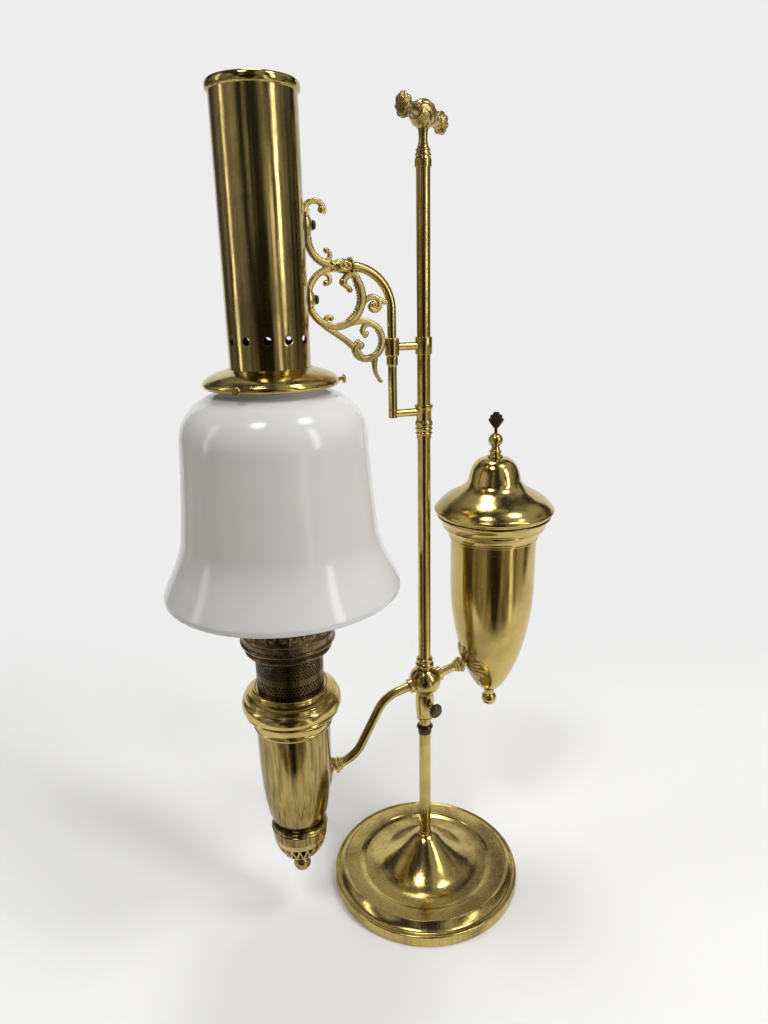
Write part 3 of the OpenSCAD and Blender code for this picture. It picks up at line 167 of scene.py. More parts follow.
def feed(shader, **sockets):
    """Links wires to a shader's sockets by name."""
    for name, wire in sockets.items():
        wire.tree.links.new(wire.socket, shader.inputs[name.replace("_", " ")])


def brass(name, bright, dull, tarnish, rough, grain, soot=0.0, streaks=0.0):
    """Brass from two colours, a share of tarnish, a roughness and the depth of its surface marks.
    Nearer to the flame's axis than the radius soot, it is blackened. Streaks run upright on it."""
    material, shader, place = new_finish(name, rough, 1.0)
    cloud = place.noise(26.0, 5.0, 0.6).between(0.42, 0.72)
    rubbed = place.stretched(520.0, 520.0, 36.0).noise(1.0, 3.0).between(0.35, 0.75)
    pits = place.noise(900.0, 2.0).between(0.66, 0.76)
    worn = cloud * tarnish + pits * (0.5 * tarnish)
    if streaks:
        streaky = place.stretched(420.0, 420.0, 26.0).noise(1.0, 4.0, 0.65).between(0.4, 0.68)
        worn = worn + streaky * streaks
    colour = worn.tint(bright, dull)
    if soot:
        x, y, _ = place.parts()
        across = x - BURNER_X * MM
        apart = (across * across + y * y) ** 0.5
        colour = apart.between(soot - 0.2 * MM, soot).tint((0.012, 0.010, 0.008, 1), colour)
    marks = rubbed + place.noise(2400.0, 2.0) * 0.6
    feed(shader, Base_Color=colour, Normal=marks.bump(grain, 0.0002),
         Roughness=cloud * 0.1 + rubbed * 0.05 + pits * 0.2 + rough)
    return material


polished = brass("polished brass", (0.60, 0.455, 0.155, 1), (0.26, 0.185, 0.06, 1),
                 tarnish=0.55, rough=0.12, grain=0.08)
spun = brass("spun brass", (0.63, 0.48, 0.165, 1), (0.17, 0.12, 0.042, 1),
             tarnish=0.7, rough=0.13, grain=0.1, streaks=0.22)
cast = brass("cast brass", (0.68, 0.53, 0.21, 1), (0.21, 0.15, 0.058, 1),
             tarnish=0.7, rough=0.24, grain=0.16)
leafy = brass("leaf brass", (0.58, 0.445, 0.17, 1), (0.08, 0.055, 0.022, 1),
              tarnish=0.95, rough=0.2, grain=0.3)
mellow = brass("mellow brass", (0.45, 0.335, 0.115, 1), (0.12, 0.083, 0.032, 1),
               tarnish=0.5, rough=0.1, grain=0.12, streaks=0.75)
stamped = brass("stamped brass", (0.25, 0.175, 0.085, 1), (0.05, 0.033, 0.016, 1),
                tarnish=0.9, rough=0.2, grain=0.2)
aged = brass("aged brass", (0.12, 0.082, 0.037, 1), (0.036, 0.024, 0.012, 1),
             tarnish=0.9, rough=0.24, grain=0.2)
sooty = brass("stack brass", (0.50, 0.38, 0.14, 1), (0.19, 0.135, 0.05, 1),
              tarnish=0.6, rough=0.08, grain=0.06, soot=25.6 * MM, streaks=0.3)
for finish in (polished, spun, cast, leafy, mellow, stamped, aged, sooty):
    print("brass finish:", finish.name)

# %% [markdown]
# The other finishes are few: milk-white opal glass with a soft gloss, clear chimney glass, browned
# screw heads, raw iron, felt and the cotton of the wick. Opal glass could be plain white paint, but light
# enters it and comes out softened, so it scatters a little below its surface. Numbers that are the same
# all over a piece go straight on the shader's socket.

# %% Glass, iron, felt and cotton


def opal_glass():
    """Milk-white glass of the shade, faintly clouded."""
    material, shader, place = new_finish("opal glass", 0.16)
    milk = place.noise(14.0, 3.0)
    pale = milk.between(0.35, 0.7).tint((0.735, 0.732, 0.724, 1), (0.765, 0.762, 0.754, 1))
    feed(shader, Base_Color=pale)
    shader.inputs["Subsurface Weight"].default_value = 0.35
    shader.inputs["Subsurface Radius"].default_value = (0.006, 0.0055, 0.005)
    shader.inputs["Subsurface Scale"].default_value = 1.0
    shader.inputs["Coat Weight"].default_value = 0.08
    shader.inputs["Coat Roughness"].default_value = 0.06
    return material


def clear_glass():
    """Thin clear glass of the chimney."""
    material, shader, place = new_finish("clear glass", 0.02)
    feed(shader, Base_Color=place.noise(20.0).tint((0.96, 0.98, 0.98, 1), (1.0, 1.0, 1.0, 1)))
    shader.inputs["Transmission Weight"].default_value = 1.0
    shader.inputs["IOR"].default_value = 1.46
    return material


def matt(name, plain, full, scale, rough, metal, depth):
    """A dull finish from two colours, with grain of one scale and depth."""
    material, shader, place = new_finish(name, rough, metal)
    grain = place.noise(scale, 4.0, 0.65)
    feed(shader, Base_Color=grain.between(0.3, 0.7).tint(plain, full), Normal=grain.bump(0.5, depth),
         Roughness=grain * 0.2 + (rough - 0.1))
    return material


opal = opal_glass()
clear = clear_glass()
browned = matt("browned metal", (0.05, 0.035, 0.02, 1), (0.16, 0.12, 0.07, 1),
               scale=700.0, rough=0.42, metal=0.9, depth=0.0001)
iron = matt("raw iron", (0.05, 0.05, 0.05, 1), (0.12, 0.11, 0.10, 1),
            scale=400.0, rough=0.6, metal=0.6, depth=0.0003)
felt = matt("felt", (0.02, 0.05, 0.025, 1), (0.05, 0.10, 0.05, 1),
            scale=1500.0, rough=0.9, metal=0.0, depth=0.0004)
cotton = matt("cotton", (0.62, 0.58, 0.48, 1), (0.84, 0.80, 0.70, 1),
              scale=900.0, rough=0.9, metal=0.0, depth=0.0004)
for finish in (opal, clear, browned, iron, felt, cotton):
    print("other finish:", finish.name)

# %% [markdown]
# Most of the lamp was spun or turned on a lathe, and polished brass shows every flat in a curve. A Screw
# modifier could turn a section too. Here the turned pieces are made in code from half sections with many
# steps, because each corner of a section can then be rounded a little, as a real edge is, so that it
# catches the light. Sections are in millimetres as (radius, height) and become metres at the end.

# %% Sections

ON_AXIS = 1e-6


def arc(x, z, r, start, end, n=12):
    """Points on a circular arc, angles in degrees."""
    angles = [math.radians(start + (end - start) * i / n) for i in range(n + 1)]
    return [(x + r * math.cos(a), z + r * math.sin(a)) for a in angles]


def bow(a, b, c, d, n=28):
    """Points on a cubic curve."""
    out = []
    for i in range(n + 1):
        t = i / n
        u = 1 - t
        weights = (u * u * u, 3 * u * u * t, 3 * u * t * t, t * t * t)
        out.append(tuple(sum(w * p[k] for w, p in zip(weights, (a, b, c, d))) for k in (0, 1)))
    return out


def straight(a, b, n):
    """Points on a straight line."""
    return [tuple(Vector(a).lerp(Vector(b), i / n)) for i in range(n + 1)]


def inset(line, thick):
    """The same line moved inwards by a wall's thickness."""
    out = []
    for i, p in enumerate(line):
        before = Vector(line[max(i - 1, 0)])
        after = Vector(line[min(i + 1, len(line) - 1)])
        along = (after - before).normalized()
        out.append((p[0] - along.y * thick, p[1] + along.x * thick))
    return out


def wall(line, thick):
    """A closed section: the line and its inner side."""
    return line + inset(line, thick)[::-1]


def radius_on(line, z):
    """Radius of a section line at a height."""
    for (r0, z0), (r1, z1) in zip(line, line[1:]):
        if z0 <= z <= z1:
            return r0 + (r1 - r0) * (z - z0) / (z1 - z0)
    return line[0][0] if z < line[0][1] else line[-1][0]


def soften(line, size=0.3):
    """Rounds the sharp corners of a section and keeps the long faces flat beside them."""
    open_ended = line[0][0] < ON_AXIS
    out = []
    for i, p in enumerate(line):
        if open_ended and i in (0, len(line) - 1):
            out.append(p)
            continue
        here = Vector(p)
        back = Vector(line[i - 1]) - here
        ahead = Vector(line[(i + 1) % len(line)]) - here
        if back.length < 1e-6 or ahead.length < 1e-6:
            continue
        if back.angle(ahead) > math.pi - 0.3:
            out.append(p)
            continue
        cut = min(size, 0.3 * back.length, 0.3 * ahead.length)
        start = here + back.normalized() * cut
        end = here + ahead.normalized() * cut
        out.append(tuple(here + back.normalized() * cut * 1.5))
        for t in (0.0, 0.25, 0.5, 0.75, 1.0):
            out.append(tuple(start * (1 - t) ** 2 + here * 2 * t * (1 - t) + end * t * t))
        out.append(tuple(here + ahead.normalized() * cut * 1.5))
    return out


print("sections ready")

# %% [markdown]
# A shape collects rings of points and skins them. Turning a section, drawing a bar along a path and
# laying a relief on a surface could each have their own code, but they are the same act: rings in order,
# joined by faces.

# %% Shapes


class Shape:
    """Points and faces in millimetres."""

    def __init__(self):
        self.points = []
        self.faces = []

    def skin(self, rings, loop=False):
        """Joins rings of points in order; a ring of one point is a pole."""
        first = []
        for ring in rings:
            first.append(len(self.points))
            self.points.extend(ring)
        for a in range(len(rings) if loop else len(rings) - 1):
            b = (a + 1) % len(rings)
            low = len(rings[a])
            high = len(rings[b])
            for k in range(max(low, high)):
                corners = [first[a] + k % low, first[a] + (k + 1) % low,
                           first[b] + (k + 1) % high, first[b] + k % high]
                self.faces.append(list(dict.fromkeys(corners)))
        return self

    def turned(self, section, place=Matrix(), steps=120, relief=None, closed=True):
        """Turns a section about an axis; a relief adds to the radius at an angle and a point."""
        rings = []
        for r, z in section:
            ring = []
            for k in range(steps if r > ON_AXIS else 1):
                a = 2 * math.pi * k / steps
                out = r + (relief(a, r, z) if relief else 0)
                ring.append(place @ Vector((out * math.cos(a), out * math.sin(a), z)))
            rings.append(ring)
        return self.skin(rings, closed and section[0][0] > ON_AXIS)

    def bar(self, path, radius, sides=40):
        """A round bar along (x, z) points of the lamp's middle plane."""
        rings = [[Vector((path[0][0], 0, path[0][1]))]]
        for i, p in enumerate(path):
            along = Vector(path[min(i + 1, len(path) - 1)]) - Vector(path[max(i - 1, 0)])
            across = Vector((-along.y, along.x)).normalized() * radius
            ring = []
            for k in range(sides):
                a = 2 * math.pi * k / sides
                ring.append(Vector((p[0] + across.x * math.cos(a), radius * math.sin(a),
                                    p[1] + across.y * math.cos(a))))
            rings.append(ring)
        rings.append([Vector((path[-1][0], 0, path[-1][1]))])
        return self.skin(rings)

    def take(self, mesh, place=Matrix()):
        """Adds a mesh in metres."""
        start = len(self.points)
        self.points.extend(place @ (v.co / MM) for v in mesh.vertices)
        self.faces.extend([start + v for v in p.vertices] for p in mesh.polygons)
        return self


print("shapes ready")

# %% [markdown]
# To dress the lamp is to put a finished piece in the place of its solid. The shape's doubles are merged
# and its normals turned outwards, sharp edges are marked by their angle, and the piece then rides on the
# body that the solid belongs to. Most pieces are one turned section, so the lathe does all of it in one
# call.

# %% Dressing


def at(x, y, z, turn=0.0, lean=0.0):
    """A place in millimetres, leaned over towards x and then turned about the upright, in degrees."""
    spin = Matrix.Rotation(math.radians(turn), 4, "Z")
    return Matrix.Translation((x, y, z)) @ spin @ Matrix.Rotation(math.radians(lean), 4, "Y")


def dress(shape, name, finish, node, crease=38):
    """Makes the piece and puts it in the place of its solid."""
    mesh = bpy.data.meshes.new(name)
    mesh.from_pydata([p * MM for p in shape.points], [], shape.faces)
    work = bmesh.new()
    work.from_mesh(mesh)
    bmesh.ops.remove_doubles(work, verts=work.verts, dist=1e-6)
    bmesh.ops.recalc_face_normals(work, faces=work.faces)
    work.to_mesh(mesh)
    work.free()
    mesh.shade_smooth()
    mesh.set_sharp_from_angle(angle=math.radians(crease))
    mesh.materials.append(finish)
    piece = bpy.data.objects.new(name, mesh)
    bpy.context.scene.collection.objects.link(piece)
    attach(piece, body_of[node])
    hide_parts(node)
    return piece


def lathe(line, name, finish, node, place=Matrix(), steps=72):
    """A piece that is one section with softened corners, turned about an axis."""
    return dress(Shape().turned(soften(line), place, steps), name, finish, node)


at_burner = at(BURNER_X, 0, 0)
at_fount = at(FOUNT_X, 0, 0)
at_post = at(POST_X, 0, 0)

# %% [markdown]
# Rows of holes, ridges and ornaments repeat round a turned piece. They could be cut with Booleans, which
# leave ragged faces on a curve. One Geometry Nodes tree does them all instead: it lays copies of a flat
# unit cell side by side in rows, then rolls the strip round the axis, so a cell may be a pierced plate, a
# ridge or a bit of relief. The radius runs from a lower to an upper value with a bulge between, which
# follows a cone or a bowl.

# %% The rolling tree


def new_tree(name, inputs):
    """A Geometry Nodes tree, a wire to start from and a wire for each input by name."""
    tree = bpy.data.node_groups.new(name, "GeometryNodeTree")
    tree.interface.new_socket("Geometry", in_out="INPUT", socket_type="NodeSocketGeometry")
    for label, kind in inputs.items():
        tree.interface.new_socket(label, in_out="INPUT", socket_type="NodeSocket" + kind)
    tree.interface.new_socket("Geometry", in_out="OUTPUT", socket_type="NodeSocketGeometry")
    root = Wire(tree)
    given = root.node("NodeGroupInput").socket.node
    return tree, root, {s.name: Wire(tree, s) for s in given.outputs}


def close_tree(geometry, finish):
    """Sets the finish and hands the geometry out."""
    done = geometry.node("GeometryNodeSetMaterial", None, {"Geometry": geometry, "Material": finish})
    done.node("NodeGroupOutput", None, {0: done})


def rolling_tree():
    """Lays cells side by side in rows and rolls them round the upright axis."""
    tree, root, took = new_tree("roll cells round an axis", {
        "Columns": "Int", "Rows": "Int", "Row height": "Float", "Low radius": "Float",
        "High radius": "Float", "Bulge": "Float", "Base height": "Float", "Stagger": "Float",
        "Finish": "Material"})
    index = root.node("GeometryNodeInputIndex")
    column = index.maths("MODULO", took["Columns"])
    row = (index / took["Columns"]).maths("FLOOR")
    shift = row.maths("MODULO", 2.0) * took["Stagger"]
    grid = root.node("ShaderNodeCombineXYZ", None, {0: column + shift, 1: row})
    points = root.node("GeometryNodePoints", None, {0: took["Columns"] * took["Rows"], 1: grid})
    copies = root.node("GeometryNodeInstanceOnPoints", None,
                       {"Points": points, "Instance": took["Geometry"]})
    real = root.node("GeometryNodeRealizeInstances", None, {0: copies})
    x, y, z = root.node("GeometryNodeInputPosition").parts()
    share = y / took["Rows"]
    radius = (took["Low radius"] * (1.0 - share) + took["High radius"] * share
              + took["Bulge"] * share * (1.0 - share) * 4.0 + z)
    angle = x / took["Columns"] * (2 * math.pi)
    rolled = root.node("ShaderNodeCombineXYZ", None, {
        0: radius * angle.maths("COSINE"), 1: radius * angle.maths("SINE"),
        2: took["Base height"] + y * took["Row height"]})
    placed = root.node("GeometryNodeSetPosition", None, {"Geometry": real, "Position": rolled})
    merged = root.node("GeometryNodeMergeByDistance", None, {"Geometry": placed, "Distance": 1e-6})
    close_tree(merged, took["Finish"])
    return tree


def grown(seed, tree, values):
    """Runs a tree on a seed mesh and returns the result as a plain mesh."""
    holder = bpy.data.objects.new("seed", seed)
    bpy.context.scene.collection.objects.link(holder)
    modifier = holder.modifiers.new("nodes", "NODES")
    modifier.node_group = tree
    for item in tree.interface.items_tree:
        if item.in_out == "INPUT" and item.name in values:
            modifier[item.identifier] = values[item.name]
    ready = holder.evaluated_get(bpy.context.evaluated_depsgraph_get())
    mesh = bpy.data.meshes.new_from_object(ready)
    holder.modifiers.remove(modifier)
    bpy.data.objects.remove(holder)
    return mesh


rolling = rolling_tree()


def roll(cell, finish, columns, row_height, base, low, high=None, rows=1, bulge=0.0, stagger=0.0):
    """Rolls a unit cell from a base height up, at a low and a high radius; sizes in millimetres."""
    return grown(cell, rolling, {
        "Columns": columns, "Rows": rows, "Row height": row_height * MM, "Low radius": low * MM,
        "High radius": (high or low) * MM, "Bulge": bulge * MM, "Base height": base * MM,
        "Stagger": stagger, "Finish": finish})


print("rolling tree:", len(rolling.nodes), "nodes")

# %% [markdown]
# A pierced cell is a unit square with a hole in it. Its rings run from the square's edge to the hole,
# through the thickness and back behind, so the hole has a real wall. A ridge cell is one rounded rib,
# which serves for ticks and knurls.

# %% Cells


def cell_mesh(name, shape):
    """A unit cell as a mesh: width and height in cells, depth in millimetres."""
    mesh = bpy.data.meshes.new(name)
    mesh.from_pydata([(p.x, p.y, p.z * MM) for p in shape.points], [], shape.faces)
    return mesh


def square_ring(divisions):
    """Points round the unit cell from its lower right corner, a number to each side."""
    corners = [(0.5, 0.0), (0.5, 1.0), (-0.5, 1.0), (-0.5, 0.0)]
    out = []
    for i in range(4):
        a = Vector(corners[i])
        b = Vector(corners[(i + 1) % 4])
        out.extend(a.lerp(b, k / divisions) for k in range(divisions))
    return out


def pierced_cell(name, wide, high, thick, divisions, steps=1):
    """A cell with an oval hole of a width and height in cell units, and steps of rings round it."""
    edge = square_ring(divisions)
    middle = Vector((0.0, 0.5))
    hole = []
    for p in edge:
        v = p - middle
        a = math.atan2(v.y, v.x)
        hole.append(middle + Vector((wide / 2 * math.cos(a), high / 2 * math.sin(a))))
    shares = [1 - 0.9 * k / steps for k in range(steps + 1)]
    rings = [[h.lerp(e, t).to_3d() for h, e in zip(hole, edge)] for t in shares]
    for depth in (-0.15 * thick, -thick):
        rings.append([Vector((p.x, p.y, depth)) for p in hole])
    for t in shares[::-1]:
        rings.append([Vector((*h.lerp(e, t), -thick)) for h, e in zip(hole, edge)])
    return cell_mesh(name, Shape().skin(rings))


def ridge_cell(name, wide, high):
    """A rounded upright ridge."""
    profile = ((-0.5, 0), (-0.25, 0.8), (0, 1), (0.25, 0.8), (0.5, 0), (0, -0.2))
    rings = []
    for y in (0.0, 0.12, 0.88, 1.0):
        rise = high if 0 < y < 1 else 0.0
        rings.append([Vector((x * wide, y, h * rise)) for x, h in profile])
    return cell_mesh(name, Shape().skin(rings))


print("cells ready")

# %% [markdown]
# The foot is one spinning: a short upright edge with a small bead, a cove up to a sharp crest, a flat
# band, a shallow valley and a bell that sweeps up to the rod. Its upright edge carries fine upright
# ticks, left by a knurling wheel. Bump could draw them, but it vanishes at the outline, so the rolling
# tree lays real ridges.

# %% Foot

foot_line = ([(76.9, 0.3), (77.5, 0.9), (77.5, 7.0)] + arc(76.2, 8.31, 1.3, -20, 120)
             + bow((75.03, 9.09), (72.9, 8.0), (69.6, 10.4), (67.2, 14.9))
             + [(66.4, 15.0), (56.0, 14.6), (55.0, 13.6)]
             + bow((52.0, 12.4), (46.0, 12.2), (42.0, 13.0), (37.0, 15.4), 20)
             + bow((36.4, 15.7), (29.6, 19.6), (22.0, 26.6), (16.0, 33.2), 18)
             + bow((15.6, 33.6), (12.6, 36.9), (9.4, 40.6), (5.6, 42.0), 12) + [(4.86, 42.1)])
foot = Shape().turned(soften(wall(foot_line, 1.0)), steps=180)
tick = ridge_cell("tick", wide=0.6, high=0.25)
foot.take(roll(tick, spun, columns=210, row_height=5.4, base=1.3, low=77.4))
dress(foot, "foot", spun, "base_shell")
print("foot dressed:", len(foot.faces), "faces")

# %% [markdown]
# The rod is plain bar from the foot to the top. A flared ring on it stops the hub, and a ringed cap
# joins it to the handle. All three are turned, so a section each is enough.

# %% Rod

lathe([(0, 2.1), (4.75, 2.1), (4.75, 564.0), (0, 564.0)], "rod_bar", polished, "rod", steps=64)

stop_line = ([(4.85, 139.5), (5.35, 139.5), (5.6, 143.6)] + arc(5.5, 145.3, 1.1, -50, 60)
             + [(5.6, 147.1), (5.4, 147.7), (4.85, 147.7)])
lathe(stop_line, "stop_ring", aged, "stop_collar")

cap_line = ([(0, 564.0), (4.85, 564.0), (4.85, 559.0), (5.4, 559.0), (5.6, 559.4), (5.6, 563.6)]
            + arc(4.2, 566.24, 1.2, -60, 60) + arc(3.9, 568.96, 1.0, -60, 60)
            + [(3.7, 570.88), (3.5, 572.0), (0, 572.0)])
lathe(cap_line, "rod_cap", polished, "rod_ferrule")
print("rod, stop ring and cap dressed")

# %% [markdown]
# The carrying handle on top is a casting: a plain stem, a leafy swell in the middle, thin bands and
# two lumpy leaf knobs, flattened sideways, at the ends. It could be sculpted by hand. It is turned like
# the rest instead, and a relief of overlapping leaves, worked out from the angle and the distance along
# it, shapes its swell and knobs.

# %% Handle

SWELL_END = 9.5
KNOB_START = 24.5


def leaf_relief(angle, r, s):
    """Overlapping leaves on the swell and the end knobs of the handle."""
    reach = abs(s)
    if reach < SWELL_END:
        slant = angle * 4 + reach * 0.55
        return 0.9 * abs(math.sin(slant)) * math.cos(reach / SWELL_END * 1.5) - 0.5
    if reach > KNOB_START:
        lobes = abs(math.sin(angle * 3.5 + 0.6 * math.sin(reach)))
        rows = 0.5 + 0.5 * math.sin(reach * 2.1)
        flat = 1 / math.hypot(math.cos(angle) / 0.9, math.sin(angle) / 0.64)
        return r * (flat - 1) + 0.9 * lobes * rows - 0.4
    return 0.0


half = (bow((8.5, 0.0), (8.5, 5.4), (6.0, 8.0), (4.0, 10.6), 30)
        + [(5.2, 11.4), (5.2, 13.0), (4.0, 13.8), (3.6, 23.6)]
        + arc(4.0, 29.4, 4.0, -70, 70, 26) + [(3.6, 34.0), (0, 34.0)])
handle_line = [(r, -s) for r, s in half[:0:-1]] + half
handle = Shape().turned(soften(handle_line, 0.2), at(0, 0, 589.5, 42, 90), 96, leaf_relief)
stem_curve = bow((3.3, 572.0), (2.6, 576.0), (2.8, 579.0), (3.9, 583.0), 16)
handle.turned(soften([(0, 572.0)] + stem_curve + [(0, 585.0)]), steps=64)
dress(handle, "cross_handle", leafy, "top_finial")
print("handle dressed:", len(handle.faces), "faces")

# %% [markdown]
# The hub is a ball with a neck that slides on the rod. Two short bosses take the feed tubes, which
# fall towards the burner at twelve degrees, and a dark knurled screw clamps it. Each is a section turned
# about its own axis, and the hub is simply the sum of them.

# %% Hub

FEED_FALL = 12.0
BALL_R = 12.7
along_feed = at(0, 0, HUB_Z, lean=90 - FEED_FALL)
along_clamp = at(0, 0, 165.542, -75, 90)
turned_over = Matrix.Rotation(math.pi, 4, "X")

sleeve_line = ([(4.8, 152.87), (5.75, 152.87), (5.75, 198.33), (6.2, 198.33)]
               + arc(4.9, 201.64, 2.4, -50, 40)
               + [(5.9, 204.03), (6.5, 204.77), (6.5, 206.73), (5.7, 207.53), (4.8, 207.53)])
lathe(sleeve_line, "hub_sleeve_ring", polished, "hub_bush")
lip_line = [(5.85, 152.87), (6.25, 152.87), (6.45, 153.27), (6.45, 154.87), (5.85, 154.87)]
lathe(lip_line, "hub_ring_nut", polished, "hub_lip")

ball_line = ([(5.8, 155.17), (6.4, 155.17)]
             + bow((6.6, 155.77), (7.2, 159.49), (7.8, 172.45), (6.8, 176.4))
             + arc(0, HUB_Z, BALL_R, -57, 56, 44) + [(5.8, 198.03)])
hub = Shape().turned(soften(ball_line), steps=96)
boss_line = soften([(3.6, 10.6), (5.7, 10.6), (5.7, 14.3), (3.6, 14.3)])
hub.turned(boss_line, along_feed, 64)
hub.turned(boss_line, along_feed @ turned_over, 64)
hub.turned(soften([(1.96, 6.0), (3.4, 6.0), (3.4, 11.4), (1.96, 11.4)]), along_clamp, 48)
dress(hub, "hub_ball", polished, "hub_body")

screw_line = [(0, 6.05), (1.9, 6.05), (1.9, 11.7), (5.0, 11.7), (5.5, 12.4), (5.5, 14.7), (4.5, 15.7),
              (0, 16.1)]
clamp = Shape().turned(soften(screw_line), along_clamp, 64)
knurl = ridge_cell("knurl", wide=0.7, high=0.22)
clamp.take(roll(knurl, browned, columns=34, row_height=2.2, base=12.45, low=5.48), along_clamp)
dress(clamp, "clamp_screw", browned, "hub_screw")
print("hub dressed")

# %% [markdown]
# The feed tubes carry oil from the fount through the hub to the burner. The burner's tube leaves the
# hub at the gentle fall, drops steeply, and turns back to the gentle fall before it enters the body.
# Its path could be drawn by eye. It is worked out from those two slopes and one bend radius instead, so
# both bends come out tangent.

# %% Feed tubes

BODY_Z = 93.5
BEND_R = 25.0
STEEP_FALL = 61.0
ENTRY_Z = 129.3


def body_radius(h):
    """Radius of the burner body at a height above its lower edge."""
    return 20.5 + 6.7 * (1 - (1 - min(h, 84.5) / 84.5) ** 2.9)


entry_x = -BURNER_X - body_radius(ENTRY_Z - BODY_Z)
gentle = math.tan(math.radians(FEED_FALL))
steep = math.tan(math.radians(STEEP_FALL))
run = (HUB_Z - ENTRY_Z - gentle * entry_x) / (steep - gentle)
knee_in = (entry_x + BALL_R - run) / 2
knee_out = knee_in + run
back = BEND_R * math.tan(math.radians(STEEP_FALL - FEED_FALL) / 2)
gentle_way = Vector((-1.0, -gentle)).normalized()
side_way = Vector((-gentle_way.y, gentle_way.x))
centre_a = Vector((-knee_in, HUB_Z - gentle * knee_in)) - gentle_way * back + side_way * BEND_R
centre_b = Vector((-knee_out, ENTRY_Z + gentle * (entry_x - knee_out))) + gentle_way * back
centre_b = centre_b - side_way * BEND_R
first_bend = arc(centre_a.x, centre_a.y, BEND_R, 90 + FEED_FALL, 90 + STEEP_FALL, 30)
second_bend = arc(centre_b.x, centre_b.y, BEND_R, 270 + STEEP_FALL, 270 + FEED_FALL, 30)
feed_start = Vector((0, HUB_Z)) + gentle_way * 9.6
feed_end = Vector((-entry_x, ENTRY_Z)) + gentle_way * 1.0
feed_path = (straight(feed_start, first_bend[0], 12)[:-1] + first_bend[:-1]
             + straight(first_bend[-1], second_bend[0], 8)[:-1] + second_bend[:-1]
             + straight(second_bend[-1], feed_end, 10))
dress(Shape().bar(feed_path, 3.5, 48), "burner_feed", polished, "burner_arm")
lathe([(2.5, 9.6), (3.5, 9.6), (3.5, 38.7), (2.5, 38.7)], "fount_feed", polished, "fount_arm",
      along_feed, 64)

ferrule_line = ([(3.6, 0.0), (6.0, 0.0)] + arc(5.2, 1.3, 1.3, -50, 70) + [(5.0, 3.5)]
                + arc(4.3, 4.48, 1.0, -40, 60) + [(4.1, 5.88), (4.2, 7.0), (3.6, 7.0)])
clear_of_wall = 4.2
near_burner = at(clear_of_wall - entry_x, 0, ENTRY_Z + gentle * clear_of_wall, lean=90 - FEED_FALL)
near_fount = along_feed @ at(0, 0, 33.33) @ turned_over
lathe(ferrule_line, "burner_feed_ring", cast, "burner_arm_ferrule", near_burner, 64)
lathe(ferrule_line, "fount_feed_ring", cast, "fount_arm_ferrule", near_fount, 64)
print("feed tubes dressed; path points:", len(feed_path))

# %% [markdown]
# Where a feed tube meets a vessel, a cast leaf hugs the curved wall: a lobed fan that narrows to a
# point below. A flat leaf could be bent by a modifier, but it would leave gaps on a vessel that tapers.
# Its outline is scaled towards the tube in rings, each point is lifted off the wall by a height that
# falls at the edge and in the grooves between the lobes, and the whole is wrapped on the wall.

# %% Cast leaves

LOBE_STEPS = 8


def leaf_outline(wide, fall, lobes):
    """A lobed fan that narrows to a point below, as (across, up)."""
    out = [(0.0, -fall), (wide * 0.09, -fall * 0.8), (wide * 0.2, -fall * 0.58), (wide * 0.3, -fall * 0.4)]
    for i in range(lobes * LOBE_STEPS + 1):
        a = math.radians(-40 + 260 * i / (lobes * LOBE_STEPS))
        r = wide / 2 * (0.9 + 0.1 * math.cos(2 * math.pi * i / LOBE_STEPS))
        out.append((r * math.cos(a), r * math.sin(a)))
    return out + [(-x, y) for x, y in out[3:0:-1]]


def cast_leaf(wide, fall, lobes, thick, on_wall):
    """A leaf laid on a wall; on_wall gives a point for a place across, a place up and a lift."""
    outline = leaf_outline(wide, fall, lobes)
    rings = [[on_wall(0.0, 0.0, thick)]]
    for s in (0.12, 0.25, 0.38, 0.5, 0.6, 0.7, 0.8, 0.88, 0.94, 0.98, 1.0):
        ring = []
        for k, (x, y) in enumerate(outline):
            turn = 2 * math.pi * (k - 4) / LOBE_STEPS
            lobe = 0.5 + 0.5 * math.cos(turn)
            vein = 0.5 + 0.5 * math.cos(2 * turn)
            lift = thick * (1 - s ** 5) * (0.5 + 0.38 * lobe * min(1.0, s * 2) + 0.12 * vein)
            ring.append(on_wall(x * s, y * s, max(lift, 0.12)))
        rings.append(ring)
    for s in (1.0, 0.5):
        rings.append([on_wall(x * s, y * s, 0.1) for x, y in outline])
    rings.append([on_wall(0.0, 0.0, 0.1)])
    return Shape().skin(rings)


def on_burner(y, up, lift):
    """A place on the burner's wall where it faces the rod."""
    z = ENTRY_Z + 2 + up
    r = body_radius(z - BODY_Z) + lift
    return Vector((BURNER_X + math.sqrt(r * r - y * y), y, z))


fount_wall = bow((5.0, 166.0), (16.0, 174.0), (32.5, 212.23), (32.9, 262.48), 60)
fount_wall += [(33.0, 300.0), (33.0, 305.0)]


def on_fount(y, up, lift):
    """A place on the fount's wall where it faces the rod."""
    z = 195.5 + up
    r = radius_on(fount_wall, z) + lift
    return Vector((FOUNT_X - math.sqrt(max(r * r - y * y, 1.0)), y, z))


burner_leaf = cast_leaf(wide=23, fall=31, lobes=7, thick=2.3, on_wall=on_burner)
fount_leaf = cast_leaf(wide=35, fall=27, lobes=9, thick=2.3, on_wall=on_fount)
dress(burner_leaf, "burner_leaf", leafy, "burner_rosette", crease=60)
dress(fount_leaf, "fount_leaf", leafy, "fount_rosette", crease=60)
print("cast leaves dressed:", len(burner_leaf.faces), "and", len(fount_leaf.faces), "faces")

# %% [markdown]
# The burner is a stack of spinnings: the tapering oil body, a wide moulded collar, the pierced basket
# that lets in air, and the gallery that holds the chimney. The basket is darker than the rest, and it is
# pierced all over with small holes in staggered rows, in two bands with a plain one between. A see-through
# texture could stand for the holes, but they show their depth, so they are real.

# %% Burner

